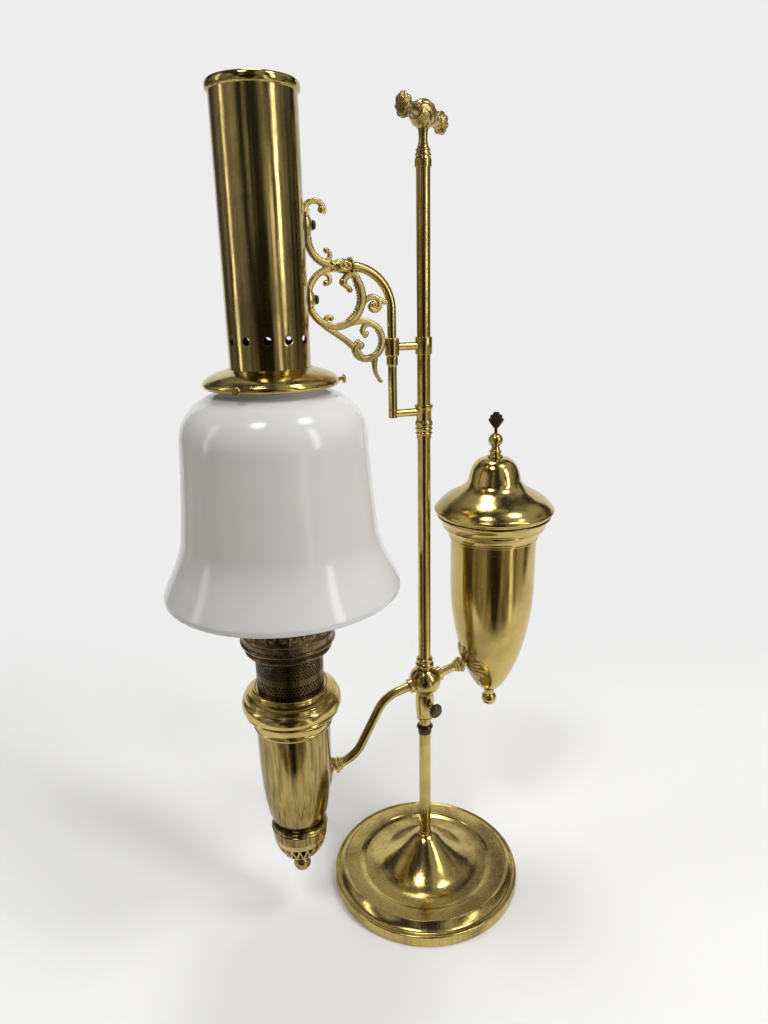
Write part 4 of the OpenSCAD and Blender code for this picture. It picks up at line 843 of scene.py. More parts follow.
heights = [89.5 * i / 44 for i in range(45)]
body_line = [(18.1, 87.1), (18.1, 93.1)]
body_line += [(body_radius(h) - 2.3 * max(0.0, 1 - h / 10) ** 2, BODY_Z + h) for h in heights]
lathe(wall(body_line, 0.9), "oil_body", mellow, "burner_body", at_burner, 144)

collar_line = ([(28.2, 178.0)] + arc(28.1, 179.9, 1.1, -60, 60)
               + bow((28.5, 182.0), (28.7, 186.4), (30.4, 188.8), (33.2, 189.8))
               + arc(33.4, 190.8, 1.0, -70, 60) + [(33.6, 192.2)]
               + bow((34.6, 192.6), (36.9, 194.0), (36.9, 200.2), (34.9, 202.2))
               + [(34.2, 202.5), (33.9, 203.6)]
               + bow((33.6, 204.2), (32.4, 206.2), (30.6, 207.0), (28.6, 207.4))
               + arc(27.0, 209.2, 1.4, -30, 150) + [(22.8, 210.0)])
collar_inside = [(27.3, 178.0), (27.5, 186.0), (32.3, 192.6), (35.2, 194.0), (35.2, 199.0),
                 (33.3, 205.5), (22.8, 208.6)]
lathe(collar_line + collar_inside[::-1], "moulded_collar", polished, "burner_collar", at_burner, 144)

basket_r = 24.4
basket_bore = 23.7
mesh_pitch = 2.175
mesh_cell = pierced_cell("mesh hole", wide=0.7, high=0.8, thick=basket_r - basket_bore, divisions=2)
basket = Shape()
for rows, band_z in ((4, 211.6), (8, 224.8)):
    band = roll(mesh_cell, aged, columns=60, row_height=mesh_pitch, base=band_z, low=basket_r, rows=rows,
                stagger=0.5)
    basket.take(band, at_burner)
plain_bands = (
    [(basket_bore, 211.6), (basket_bore, 210.3), (basket_r, 210.3), (basket_r, 211.6)],
    [(basket_r, 220.3), (basket_r, 224.8)], [(basket_bore, 220.3), (basket_bore, 224.8)],
    [(basket_r, 242.2), (basket_r, 257.3), (basket_bore, 257.3), (basket_bore, 242.2)])
for band in plain_bands:
    basket.turned(band, at_burner, 120, closed=False)
dress(basket, "air_basket_sheet", aged, "air_basket")
print("burner dressed; basket faces:", len(basket.faces))

# %% [markdown]
# The gallery has a double ridge round its flange and a sloping band above it with a worn, stamped
# ornament. Bump would look flat at the band's edge, so one motif, a pair of small curls beside a bud, is
# a relief on a grid cell that the rolling tree repeats fourteen times.

# %% Gallery


def curl_height(x, y):
    """Height of the stamped motif at a place in the unit cell."""
    height = 0.0
    for cx, cy, r, sign in ((-0.22, 0.52, 0.17, 1), (0.22, 0.52, 0.17, -1)):
        dx = x - cx
        dy = (y - cy) * 0.9
        d = math.hypot(dx, dy)
        turn = math.atan2(dy, dx * sign) / (2 * math.pi)
        spiral = r * (0.45 + 0.55 * (turn % 1.0))
        height = max(height, math.exp(-((d - spiral) / 0.04) ** 2))
    bud = math.exp(-(x / 0.07) ** 2 - ((y - 0.45) / 0.3) ** 2)
    edge = math.exp(-((abs(y - 0.5) - 0.47) / 0.035) ** 2)
    fade = min(1.0, 12 * y, 12 * (1 - y))
    return max(height, bud, edge) * fade


def motif_cell(name, high, across_n=26, up_n=22):
    """A grid of faces over the unit cell, raised by the motif."""
    points = []
    faces = []
    for j in range(up_n + 1):
        for i in range(across_n + 1):
            x = i / across_n - 0.5
            y = j / up_n
            points.append((x, y, curl_height(x, y) * high * MM))
    for j in range(up_n):
        for i in range(across_n):
            a = j * (across_n + 1) + i
            faces.append((a, a + 1, a + across_n + 2, a + across_n + 1))
    mesh = bpy.data.meshes.new(name)
    mesh.from_pydata(points, [], faces)
    return mesh


gallery_line = ([(24.5, 238.7), (25.4, 238.5), (28.4, 239.3)] + arc(29.8, 241.9, 1.5, -60, 70)
                + [(31.0, 244.7)] + arc(32.2, 248.3, 1.8, -60, 70) + [(33.0, 251.7), (33.2, 253.3)]
                + bow((33.1, 254.3), (32.6, 261.3), (30.4, 263.3), (30.0, 269.3))
                + [(30.0, 274.9)] + arc(29.8, 276.1, 1.2, -70, 90))
gallery_inside = [(24.5, 239.9), (29.0, 243.3), (30.8, 248.3), (31.6, 253.3), (29.1, 265.3), (29.1, 277.3)]
gallery = Shape().turned(soften(gallery_line + gallery_inside[::-1]), at_burner, 144)
gallery.turned(soften([(17.0, 257.3), (30.6, 257.3), (30.6, 258.3), (17.0, 258.3)]), at_burner, 96)
motif = motif_cell("stamped curl", high=0.7)
curls = roll(motif, stamped, columns=14, row_height=14.4, base=254.6, low=33.1, high=30.05, bulge=0.35)
gallery.take(curls, at_burner)
dress(gallery, "chimney_gallery", stamped, "gallery")
print("gallery dressed:", len(gallery.faces), "faces")

# %% [markdown]
# Under the burner hangs the drip cup: a rounded bowl, a border of triangular openings between two rings,
# and a ball. The openings could be cut out of the bowl. It is easier to build what is left of it: zigzag
# bars, one cell with a V of two bars, rolled along the bowl.

# %% Drip cup

cup_line = (bow((20.7, 80.9), (21.2, 82.9), (21.1, 84.9), (21.1, 86.5)) + arc(20.5, 88.5, 1.2, -50, 60)
            + [(20.9, 90.5), (20.8, 91.1), (20.1, 91.9)])
cup_inside = [(19.8, 80.9), (20.1, 84.9), (19.9, 87.5), (18.15, 87.9), (18.15, 91.9)]
lathe(cup_line + cup_inside[::-1], "drip_bowl", mellow, "drip_cup", at_burner, 128)


def zigzag_cell(name, wide, thick):
    """Two bars that make a V upside down."""
    profile = ((-0.5, -1), (-0.5, -0.3), (-0.25, 0), (0.25, 0), (0.5, -0.3), (0.5, -1))
    shape = Shape()
    for a, b in (((-0.5, 0.0), (0.0, 1.0)), ((0.0, 1.0), (0.5, 0.0))):
        rings = []
        for x, y in straight(a, b, 4):
            rings.append([Vector((x + dx * wide, y, dz * thick)) for dx, dz in profile])
        shape.skin(rings)
    return cell_mesh(name, shape)


bowl_line = bow((8.7, 59.9), (14.1, 61.4), (19.53, 69.98), (20.7, 80.9), 40)
low_z, high_z = 64.6, 76.0
low_r, high_r = radius_on(bowl_line, low_z), radius_on(bowl_line, high_z)
swell = radius_on(bowl_line, (low_z + high_z) / 2) - (low_r + high_r) / 2
zigzag = zigzag_cell("zigzag", wide=0.22, thick=0.9)
bars = roll(zigzag, cast, columns=20, row_height=high_z - low_z, base=low_z, low=low_r, high=high_r,
            bulge=swell)
border = Shape().take(bars, at_burner)
lower_ring = [p for p in bowl_line if p[1] <= low_z + 0.3]
upper_ring = [p for p in bowl_line if p[1] >= high_z - 0.3]
for ring_line in (lower_ring, upper_ring):
    border.turned(soften(wall(ring_line, 0.9)), at_burner, 108)
dress(border, "pierced_border", cast, "drip_grille")

tip_line = ([(0, 42.9)] + arc(0, 49.6, 6.7, -84, 50, 30)
            + [(4.2, 58.5), (5.4, 59.3), (9.1, 59.6), (9.1, 59.9), (7.5, 59.9), (7.1, 60.7), (0, 60.7)])
lathe(tip_line, "drip_knob", mellow, "drip_ball", at_burner)
print("drip cup dressed")

# %% [markdown]
# The fount is a tall tapering vessel with a stepped mouth and a ball below. It is all lathe work, so each
# piece is a section that follows its curves.

# %% Fount

lathe(wall(fount_wall, 0.9), "fount_vessel", polished, "fount_shell", at_fount, 144)

cornice_line = ([(34.0, 300.0), (34.5, 300.5), (34.5, 302.0)]
                + bow((35.1, 302.6), (35.5, 306.0), (36.9, 306.4), (38.5, 308.4), 16)
                + [(39.1, 308.6), (39.3, 310.4)]
                + bow((39.9, 310.8), (40.5, 314.4), (42.7, 314.8), (43.5, 317.2), 16) + [(43.5, 318.0)])
cornice_inside = [(33.1, 300.0), (33.1, 305.2), (36.9, 309.2), (38.1, 311.0), (41.5, 316.4), (42.1, 318.0)]
lathe(cornice_line + cornice_inside[::-1], "fount_mouth", polished, "fount_cornice", at_fount, 144)

drop_line = ([(0, 151.0)] + arc(0, 157.2, 6.2, -84, 48, 30)
             + [(4.1, 163.1), (4.4, 165.4), (5.0, 166.0), (4.0, 166.0), (4.0, 168.0), (0, 168.0)])
lathe(drop_line, "fount_tip", polished, "fount_drop", at_fount)
print("fount dressed")

# %% [markdown]
# The fount's lid belongs to the tank inside, which lifts out, and carries a turned knob with a small dark
# leaf on top. The leaf is no lathe work: its outline is drawn once, mirrored, and shrunk towards the
# middle on both sides, with a wavy thickness for its ribs.

# %% Lid

lid_line = ([(42.1, 318.3), (43.2, 318.7)] + arc(43.3, 322.3, 2.3, -72, 60)
            + bow((44.2, 324.5), (38.0, 334.9), (23.6, 335.82), (20.0, 344.82), 40)
            + bow((19.9, 345.42), (18.5, 352.82), (16.0, 362.5), (4.9, 362.5), 40))
lid_top = [p for p in lid_line if p[1] > 324.3]
lid_inside = [(42.1, 319.7), (42.2, 320.3)] + inset(lid_top, 0.9)
lathe(lid_line + lid_inside[::-1], "tank_lid", polished, "fount_lid", at_fount, 144)

knob_line = ([(0, 361.6), (4.8, 361.6), (4.8, 362.6), (5.9, 362.6), (5.9, 363.7), (4.1, 364.5),
              (4.1, 365.5), (4.7, 366.1), (4.7, 367.1), (3.7, 367.9), (2.75, 370.5)]
             + arc(0, 375.23, 5.5, -58, 86, 30) + [(0, 380.73)])
lathe(knob_line, "turned_knob", polished, "lid_knob", at_fount)

half_leaf = [(1.2, -9.6), (1.2, -6.4), (2.4, -5.0), (4.0, -2.8), (5.4, -0.6), (5.85, 1.0), (4.6, 1.2),
             (4.5, 2.4), (4.4, 3.8), (3.2, 4.0), (2.6, 4.2), (2.2, 5.6), (1.1, 6.3)]
leaf_edge = half_leaf + [(0.0, 6.0)] + [(-x, y) for x, y in half_leaf[::-1]]
leaf_place = at_fount @ at(0, 0, 390.33, -25)


def leaf_point(x, y, side):
    """A place on one side of the dark leaf, waved by its ribs."""
    ridge = 1 - 0.35 * (0.5 + 0.5 * math.cos(x * 2.6 + abs(y) * 0.4))
    return leaf_place @ Vector((x, side * ridge, y))


front = ((0.3, -1.0), (0.6, -0.95), (0.85, -0.75), (1.0, -0.3))
rings = [[leaf_point(0, 0, -1.0)]]
for s, lift in front + tuple((s, -lift) for s, lift in front[::-1]):
    rings.append([leaf_point(x * s, y * s, lift) for x, y in leaf_edge])
rings.append([leaf_point(0, 0, 1.0)])
dress(Shape().skin(rings), "dark_leaf", browned, "lid_leaf", crease=50)
print("lid, knob and leaf dressed")

# %% [markdown]
# The shade bracket is a small frame of two arms, sliding on the rod, with an upright tube between them.
# A bent tube swings in that upright. The bars are plain, with ringed collars where they meet, so bars
# along a path and turned collars make all of it.

# %% Bracket

ARM_R = 2.75
BEND_MIDDLE = (-51.6, 471.0)
ARM_BEND_R = 28.0

rest_line = ([(4.8, 382.2), (5.3, 382.2), (5.4, 384.9)] + arc(5.3, 386.25, 0.9, -50, 80) + [(5.5, 387.78)]
             + arc(5.4, 389.4, 1.0, -60, 80) + [(5.4, 391.2), (4.8, 391.2)])
lathe(rest_line, "rest_ring", polished, "rest_collar")

upper_collar = [(4.8, 441.0), (5.8, 441.0), (6.0, 441.8), (6.0, 452.2), (5.8, 453.0), (4.8, 453.0)]
upper_eye = [(3.2, 441.0), (4.5, 441.0), (5.0, 442.0), (5.0, 452.0), (4.6, 453.0), (2.15, 453.0),
             (2.15, 445.0), (3.2, 445.0)]
upper = Shape().turned(soften(upper_collar), steps=72)
upper.bar(straight((-5.5, 447.0), (-20.0, 447.0), 6), ARM_R)
upper.turned(soften(upper_eye), at_post, 72)
dress(upper, "upper_arm", polished, "bracket_upper")

lower_collar = [(4.8, 391.5), (6.2, 391.5), (6.4, 392.1), (6.4, 393.9), (5.5, 395.5), (5.5, 400.5),
                (6.0, 403.5), (6.5, 404.5), (6.5, 406.5), (4.8, 406.5)]
lower = Shape().turned(soften(lower_collar), steps=72)
lower.bar(straight((-5.2, 401.5), (POST_X, 401.5), 6), ARM_R)
lower.turned(soften([(0, 398.75), (3.1, 398.75), (3.1, 404.85), (0, 404.85)], 0.6), at_post, 64)
dress(lower, "lower_arm", polished, "bracket_lower")

socket_line = [(2.15, 404.85), (3.1, 404.85), (3.1, 434.0), (4.0, 435.6), (4.0, 440.2), (3.6, 440.9),
               (3.1, 440.9), (3.1, 444.8), (2.15, 444.8)]
lathe(socket_line, "upright_tube", polished, "socket_tube", at_post, 64)

swing_path = (straight((POST_X, 453.3), (POST_X, 471.0), 8)[:-1]
              + arc(*BEND_MIDDLE, ARM_BEND_R, 0, 90, 44)[:-1]
              + straight((-51.6, 499.0), (-56.6, 499.0), 4))
bent_arm = Shape().bar(swing_path, 3.1, 48)
bent_arm.bar(straight((POST_X, 405.2), (POST_X, 454.0), 6), 2.1, 32)
dress(bent_arm, "bent_arm", polished, "arm_tube")
print("bracket dressed")

# %% [markdown]
# The scroll casting is the showpiece: a large open circle with a leaf curled inside it, smaller curls
# that branch from it, and beads along some inner edges. It could be a beveled curve, which is round and
# plain. Here each strand is a line of points with a thickness at each. One tree runs a smooth curve
# through the points and sweeps a grooved section along it, and a second sets a row of beads on a curve.

# %% Strand and bead trees


def even_curve(line, step):
    """A smooth curve through a line's points, in even steps."""
    curve = line.node("GeometryNodeMeshToCurve", None, {0: line})
    smooth = line.node("GeometryNodeCurveSplineType", {"spline_type": "CATMULL_ROM"}, {"Curve": curve})
    return line.node("GeometryNodeResampleCurve", {"mode": "LENGTH"}, {"Curve": smooth, "Length": step})


def strand_tree():
    """Sweeps a grooved section along a line that has a thickness at each point."""
    tree, root, took = new_tree("grooved strand",
                                {"Step": "Float", "Groove": "Float", "Finish": "Material"})
    thick = root.node("GeometryNodeInputNamedAttribute", {"data_type": "FLOAT"}, {"Name": "thick"})
    even = even_curve(took["Geometry"], took["Step"])
    ring = root.node("GeometryNodeCurvePrimitiveCircle", {"mode": "RADIUS"},
                     {"Resolution": 24, "Radius": 1.0})
    x, y, _ = root.node("GeometryNodeInputPosition").parts()
    angle = y.maths("ARCTAN2", x)
    dent = 1.0 - took["Groove"] * (angle * 4.0).maths("COSINE")
    shaped = root.node("ShaderNodeCombineXYZ", None, {0: x * dent, 1: y * dent})
    section = root.node("GeometryNodeSetPosition", None, {"Geometry": ring, "Position": shaped})
    swept = root.node("GeometryNodeCurveToMesh", None,
                      {"Curve": even, "Profile Curve": section, "Scale": thick, "Fill Caps": True})
    close_tree(root.node("GeometryNodeRealizeInstances", None, {0: swept}), took["Finish"])
    return tree


def bead_tree():
    """Sets beads along a line at an even pitch."""
    tree, root, took = new_tree("bead row", {"Pitch": "Float", "Radius": "Float", "Finish": "Material"})
    even = even_curve(took["Geometry"], took["Pitch"])
    bead = root.node("GeometryNodeMeshIcoSphere", None, {"Radius": took["Radius"], "Subdivisions": 2})
    copies = root.node("GeometryNodeInstanceOnPoints", None, {"Points": even, "Instance": bead})
    close_tree(root.node("GeometryNodeRealizeInstances", None, {0: copies}), took["Finish"])
    return tree


strands = strand_tree()
beads = bead_tree()


def line_mesh(path, radii=None, y=0.0):
    """A line of points in the plane of the scrolls, with a thickness at each where it is a strand."""
    mesh = bpy.data.meshes.new("line")
    edges = [(i, i + 1) for i in range(len(path) - 1)]
    mesh.from_pydata([(x * MM, y * MM, z * MM) for x, z in path], edges, [])
    if radii:
        thick = mesh.attributes.new("thick", "FLOAT", "POINT")
        for i, r in enumerate(radii):
            thick.data[i].value = r * MM
    return mesh


print("strand and bead trees:", len(strands.nodes), "and", len(beads.nodes), "nodes")

# %% [markdown]
# All places in the casting are measured from the middle of the arm's bend, from the middle of the large
# circle or from the middle of the lower loop, because that is how a pattern maker would set it out with
# compasses. A strand swells and tapers between its two radii, and round buds finish the ends.

# %% Lines of the scrollwork

mid = Vector(BEND_MIDDLE)
big = mid + Vector((-11.0, 9.0))
loop = mid + Vector((9.0, -19.5))
clip_x = -79.7
clip_heights = (523.5, 479.0)


def off(centre, x, z):
    """A place measured from a centre."""
    return (centre.x + x, centre.y + z)


def curl(centre, r0, r1, start, end, n):
    """A spiral that opens or closes steadily."""
    out = []
    for i in range(n + 1):
        a = math.radians(start + (end - start) * i / n)
        r = r0 + (r1 - r0) * i / n
        out.append((centre[0] + r * math.cos(a), centre[1] + r * math.sin(a)))
    return out


def branch(centre, a, b, c, d, n):
    """A cubic curve laid out from a centre."""
    return bow(off(centre, *a), off(centre, *b), off(centre, *c), off(centre, *d), n)


strand_list = [
    # top volute, the stem to the boss and its small curl
    (curl(off(mid, -21.4, 60), 8.4, 4.4, 190, -10, 12), 1.9, 1.6),
    (curl(off(mid, -12.4, 44.7), 15.6, 15.6, 277, 165, 12), 2.4, 1.9),
    (bow((clip_x + 0.6, 518.0), (clip_x, 521.0), (clip_x - 0.4, 527.0), (clip_x + 0.4, 533.0), 6),
     2.0, 1.8),
    (curl(off(mid, -16.9, 35.5), 4.8, 1.8, -120, 100, 8), 1.7, 1.3),
    # the large circle and the leaf curled inside it
    (curl(off(big, 0, 0), 18.2, 18.2, 76, 396, 32), 1.9, 2.6),
    (branch(big, (14.9, 10.4), (14.4, 14.4), (9.6, 15.6), (6.4, 11.4), 8), 2.6, 2.0),
    (branch(big, (6.4, 11.4), (4.4, 8.4), (7.6, 7.4), (9.8, 4.6), 8), 2.0, 1.5),
    (curl(off(big, -6.9, 10.5), 5.2, 1.6, 120, -110, 8), 1.7, 1.3),
    (curl(off(big, -3.9, -14), 4.4, 1.4, 228, 50, 8), 1.7, 1.3),
    # the branch that curls against the arm
    (branch(big, (14.5, -11), (17.6, -7), (18.6, 0), (26.1, 0), 8), 1.7, 1.9),
    (curl(off(big, 26.1, -5.5), 5.5, 2.0, 92, -190, 12), 1.8, 1.6),
    (bow(off(big, 28.4, -0.8), off(big, 31, -2), off(big, 33, -3.6), (-25.7, 475.8), 5), 1.6, 1.6),
    # the lower loop with its stems, leaves and tail
    (bow(off(big, -11.2, -14.3), off(big, -5.4, -22), off(loop, -12, 4), off(loop, -2.6, -11.2), 10),
     1.7, 2.1),
    (curl(off(loop, 0, 0), 11.4, 12.2, 256, 436, 16), 2.1, 2.1),
    (bow(off(loop, 3.2, 12.0), off(loop, -3, 15), off(loop, -9, 12), off(big, 5.6, -17.3), 8), 2.1, 1.8),
    (branch(loop, (-2.5, -11.3), (-9.5, -9.5), (-9, -0.4), (-4, -2.2), 7), 1.8, 2.4),
    (branch(loop, (3, 11.7), (-3, 10.6), (-3.5, 5), (0, 4.1), 6), 1.8, 1.4),
    (branch(loop, (6.5, -9.7), (5.5, -15.5), (5, -21.5), (10.5, -27), 8), 2.0, 1.0)]

# Rounded lumps: place, half sizes along, across and up, and a turn in the plane of the scrolls
lumps = [
    (off(mid, -17.9, 61.6), (2.6, 2.5, 2.6), 0), (off(mid, -16.0, 37.6), (2.0, 2.0, 2.0), 0),
    (off(big, 5.6, 9.4), (2.7, 2.5, 2.9), 0), (off(big, 9.8, 4.8), (2.0, 2.0, 2.3), 30),
    (off(big, -6.0, 9.0), (2.0, 2.0, 2.0), 0), (off(big, -3.6, -12.8), (1.9, 1.9, 1.9), 0),
    (off(big, 25.6, -5.2), (2.5, 2.4, 2.5), 0), (off(loop, -3.6, -2.4), (2.7, 2.5, 2.7), 0),
    (off(loop, -6.6, -0.8), (3.4, 1.7, 1.6), 50), (off(loop, 0.4, 4.4), (1.7, 1.6, 2.6), -35),
    (off(loop, -2.0, 6.0), (1.5, 1.5, 2.8), 40), (off(loop, 9.6, -26.2), (1.4, 1.3, 2.4), 50),
    ((-57.2, 499.3), (7.2, 5.0, 4.7), 0), ((-63.4, 500.4), (4.6, 3.2, 2.2), -24),
    ((-62.6, 497.6), (4.6, 3.0, 2.0), 12), ((-52.0, 503.3), (1.9, 1.9, 1.7), 0),
    ((-50.6, 499.1), (1.6, 4.4, 4.5), 0)]

# Rows of beads: the line they follow and their radius
bead_rows = [
    (curl(off(mid, -12.4, 44.7), 13.6, 13.6, 262, 180, 14), 0.85),
    (curl(off(big, 0, 0), 15.9, 15.7, 300, 388, 14), 0.95),
    (curl(off(loop, 0, 0), 9.5, 10.3, 265, 400, 14), 0.85)]
print("scroll lines:", len(strand_list), "strands,", len(lumps), "lumps,", len(bead_rows), "bead rows")

# %% [markdown]
# Strands, lumps and beads are gathered in one piece, as the founder made it in one pour. Where it meets
# the arm it has a swollen boss with a ring and a bead on each side, and where it meets the stack it has
# two curved clips with domes, held by dark screws.

# %% Scroll casting

BOLDNESS = 1.12
scroll = Shape()
for path, r0, r1 in strand_list:
    radii = [BOLDNESS * (r0 + (r1 - r0) * i / (len(path) - 1)) for i in range(len(path))]
    scroll.take(grown(line_mesh(path, radii), strands, {"Step": 0.0009, "Groove": 0.09, "Finish": cast}))
ball = [(0, -1)] + arc(0, 0, 1, -80, 80, 14) + [(0, 1)]
for (x, z), sizes, turn in lumps:
    scroll.turned(ball, at(x, 0, z, lean=-turn) @ Matrix.Diagonal((*sizes, 1)), 28)
for path, r in bead_rows:
    for y in (-1.0, 1.0):
        row = grown(line_mesh(path, None, y), beads, {"Pitch": 0.0017, "Radius": r * MM, "Finish": cast})
        scroll.take(row)
for side in (-1, 1):
    eye = at(-56.6, 4.6 * side, 499.3) @ Matrix.Rotation(-side * math.pi / 2, 4, "X")
    eye = eye @ Matrix.Diagonal((1.45, 1, 1, 1))
    scroll.turned(arc(2.4, 0.2, 0.75, 0, 330, 11), eye, 36)
    scroll.turned([(0, -0.6)] + arc(0, 0.3, 1.15, -40, 80, 10) + [(0, 1.45)], eye, 24)
dome_line = [(0, 0), (5.3, 0)] + bow((5.5, 0.4), (5.5, 3.6), (3.6, 5.5), (1.2, 5.6), 10) + [(0, 5.6)]
clip_section = ((26.0, -7.0), (27.5, -7.0), (27.5, 7.0), (26.0, 7.0))
for z in clip_heights:
    strip = []
    for a in (math.radians(angle) for angle in range(-12, 13, 2)):
        corners = [Vector((r * math.cos(a), r * math.sin(a), z + dz)) for r, dz in clip_section]
        strip.append([at_burner @ corner for corner in corners])
    scroll.skin([[sum(strip[0], Vector()) / 4]] + strip + [[sum(strip[-1], Vector()) / 4]])
    scroll.turned(dome_line, at(-82.0, 0, z, lean=90) @ Matrix.Diagonal((1.25, 1, 1, 1)), 36)
dress(scroll, "scroll_casting", cast, "scroll_ornament", crease=50)

clip_screw_line = soften([(0, 0), (1.4, 0), (1.4, 7.8), (2.9, 7.8), (3.1, 8.3), (2.6, 9.7), (0, 10.5)])
screws = Shape()
for z in clip_heights:
    screws.turned(clip_screw_line, at(-84.1, 0, z, lean=90), 40)
dress(screws, "scroll_screws", browned, "stack_screws")
print("scroll casting dressed:", len(scroll.faces), "faces")

# %% [markdown]
# The stack is a plain rolled tube with a beaded rim and a row of twelve air holes near its foot. The
# holes are cut by rolling twelve pierced cells, whose edges match the steps of the plain tube above and
# below, so the reflections run through without a seam.

# %% Stack

stack_r = 25.9
stack_bore = 25.1
hole_count = 12
hole = 5.0
band_low = 450.0
band_high = 462.0
band = band_high - band_low
hole_pitch = 2 * math.pi * stack_r / hole_count
air_cell = pierced_cell("air hole", wide=hole / hole_pitch, high=hole / band, thick=stack_r - stack_bore,
                        divisions=10, steps=6)
air_holes = roll(air_cell, sooty, columns=hole_count, row_height=band, base=band_low, low=stack_r)
stack = Shape().take(air_holes, at_burner @ at(0, 0, 0, 180 / hole_count))
stack_top = [(stack_r, band_high + 11.0 * i) for i in range(13)]
bulge = [math.radians(a) for a in range(-50, 91, 10)]
stack_top += [(25.6 + 2 * math.cos(a), 597 + 3 * math.sin(a)) for a in bulge]
stack_top += [(25.4, 599.9), (stack_bore, 599.0), (stack_bore, band_high)]
stack_foot = [(stack_bore, band_low), (stack_bore, 436.0), (stack_r, 436.0), (stack_r, band_low)]
for part in (stack_top, stack_foot):
    stack.turned(part, at_burner, 120, closed=False)
dress(stack, "chimney_stack", sooty, "stack")
print("stack dressed; air holes are", round(hole_pitch, 2), "mm apart")

# %% [markdown]
# The canopy is a shallow brass dome that carries the shade by its rim. The shade is blown opal glass, a
# bell with a flared edge and a thick wall, which scatters light. Three small knurled pins in the canopy
# hold it. All are turned, with enough steps for a smooth outline.

# %% Canopy and shade

canopy_line = ([(40.6, 426.2)] + arc(41.2, 429.0, 2.6, -60, 50)
               + bow((42.6, 431.4), (39.8, 434.4), (34.9, 436.0), (28.3, 437.8), 36)
               + [(26.9, 438.4), (26.0, 438.4)])
canopy_inside = [(39.5, 426.2), (39.5, 432.4), (36.8, 434.0), (29.9, 436.6), (26.0, 437.0)]
lathe(canopy_line + canopy_inside[::-1], "shade_canopy", polished, "canopy", at_burner, 144)

shade_line = (arc(79.7, 288.6, 1.6, -80, 10)
              + bow((81.1, 291.0), (73.9, 307.4), (68.4, 315.4), (66.6, 328.89), 40)
              + bow((66.4, 331.02), (64.6, 346.64), (62.5, 369.36), (61.5, 391.37), 24)
              + bow((61.4, 393.5), (60.5, 409.0), (50.0, 420.0), (36.5, 422.8), 44)
              + [(35.1, 423.4), (34.5, 424.6)])
shade_neck = [(34.5, 430.5), (36.7, 430.7), (37.0, 431.1), (37.0, 432.7), (36.5, 433.1), (31.5, 433.1)]
shade_section = soften(shade_line + shade_neck + inset(shade_line, 3.0)[::-1], 0.6)
dress(Shape().turned(shade_section, at_burner, 160), "opal_shade", opal, "shade")

pin_line = soften([(0, 34.8), (1.3, 34.8), (1.3, 46.2), (2.5, 46.2), (2.75, 46.7), (2.75, 47.9),
                   (2.4, 48.4), (0, 48.6)])
for number, turn in ((1, -129), (2, -9), (3, 111)):
    outwards = at_burner @ at(0, 0, 429.0, turn, 90)
    pin = Shape().turned(pin_line, outwards, 40)
    pin.take(roll(knurl, polished, columns=22, row_height=1.2, base=46.7, low=2.73), outwards)
    dress(pin, f"shade_pin_{number}", polished, f"shade_screw_{number}")
print("canopy, shade and pins dressed")

# %% [markdown]
# What is left is hidden or nearly so: the weight, felt and nut under the foot, the tank and its valve in
# the fount, and the wick with its tubes and the glass chimney. New shapes would not show, so their solids
# stay and take a finish.

# %% Inner pieces

inner_finish = {"base_weight": iron, "base_felt": felt, "base_nut": polished, "wick": cotton,
                "chimney": clear}
for node in ("draught_tube", "wick_tube", "burner_floor", "burner_deck", "wick_carrier",
             "chimney_springs", "valve_post", "fount_tank", "tank_mouth", "valve"):
    inner_finish[node] = aged
for node, finish in inner_finish.items():
    solid = frame["nodes"][node]
    solid.data.materials.clear()
    solid.data.materials.append(finish)
print("inner pieces:", len(inner_finish))

# %% [markdown]
# The lamp stands on a pale sheet of paper that runs back and sweeps up behind it. Light falls off over
# such a sheet, and stronger lamps would burn out the brass. So farther back the sheet shows an even tone
# of its own, to the camera and in reflections, and near the lamp it is plain paper that takes the shadow.

# %% Paper sheet

SWEEP_START = 0.4
SWEEP_R = 1.4
back_way = Vector((0.3694, 0.9293, 0))
left_way = Vector((-0.9293, 0.3694, 0))


def sheet_rows():
    """Places along the sheet and their heights: flat under the lamp, then a sweep up behind it."""
    rows = [(-0.24, 0.0), (0.1, 0.0), (SWEEP_START, 0.0)]
    for i in range(1, 25):
        a = math.radians(70 * i / 24)
        rows.append((SWEEP_START + SWEEP_R * math.sin(a), SWEEP_R - SWEEP_R * math.cos(a)))
    rows.append((2.02, 1.75))
    return rows


def paper_finish():
    """Paper that glows evenly where it is seen far behind the lamp."""
    material, shader, place = new_finish("paper", 0.8)
    tone = place.noise(3.0).tint((0.955, 0.955, 0.955, 1), (0.965, 0.965, 0.965, 1))
    feed(shader, Base_Color=tone)
    tree = material.node_tree
    rays = place.node("ShaderNodeLightPath").socket.node.outputs
    camera_ray, glossy_ray, through_ray = (
        Wire(tree, rays[f"Is {kind} Ray"]) for kind in ("Camera", "Glossy", "Transmission"))
    seen = (camera_ray + glossy_ray + through_ray).between(0.0, 1.0)
    x, y, _ = place.parts()
    far_off = (x * back_way.x + y * back_way.y).between(0.12, 0.6)
    glow = place.node("ShaderNodeEmission", None, {"Color": (0.847, 0.847, 0.847, 1), "Strength": 1.0})
    both = place.node("ShaderNodeMixShader", None,
                      {0: seen * far_off, 1: Wire(tree, shader.outputs[0]), 2: glow})
    tree.links.new(both.socket, tree.nodes["Material Output"].inputs["Surface"])
    return material


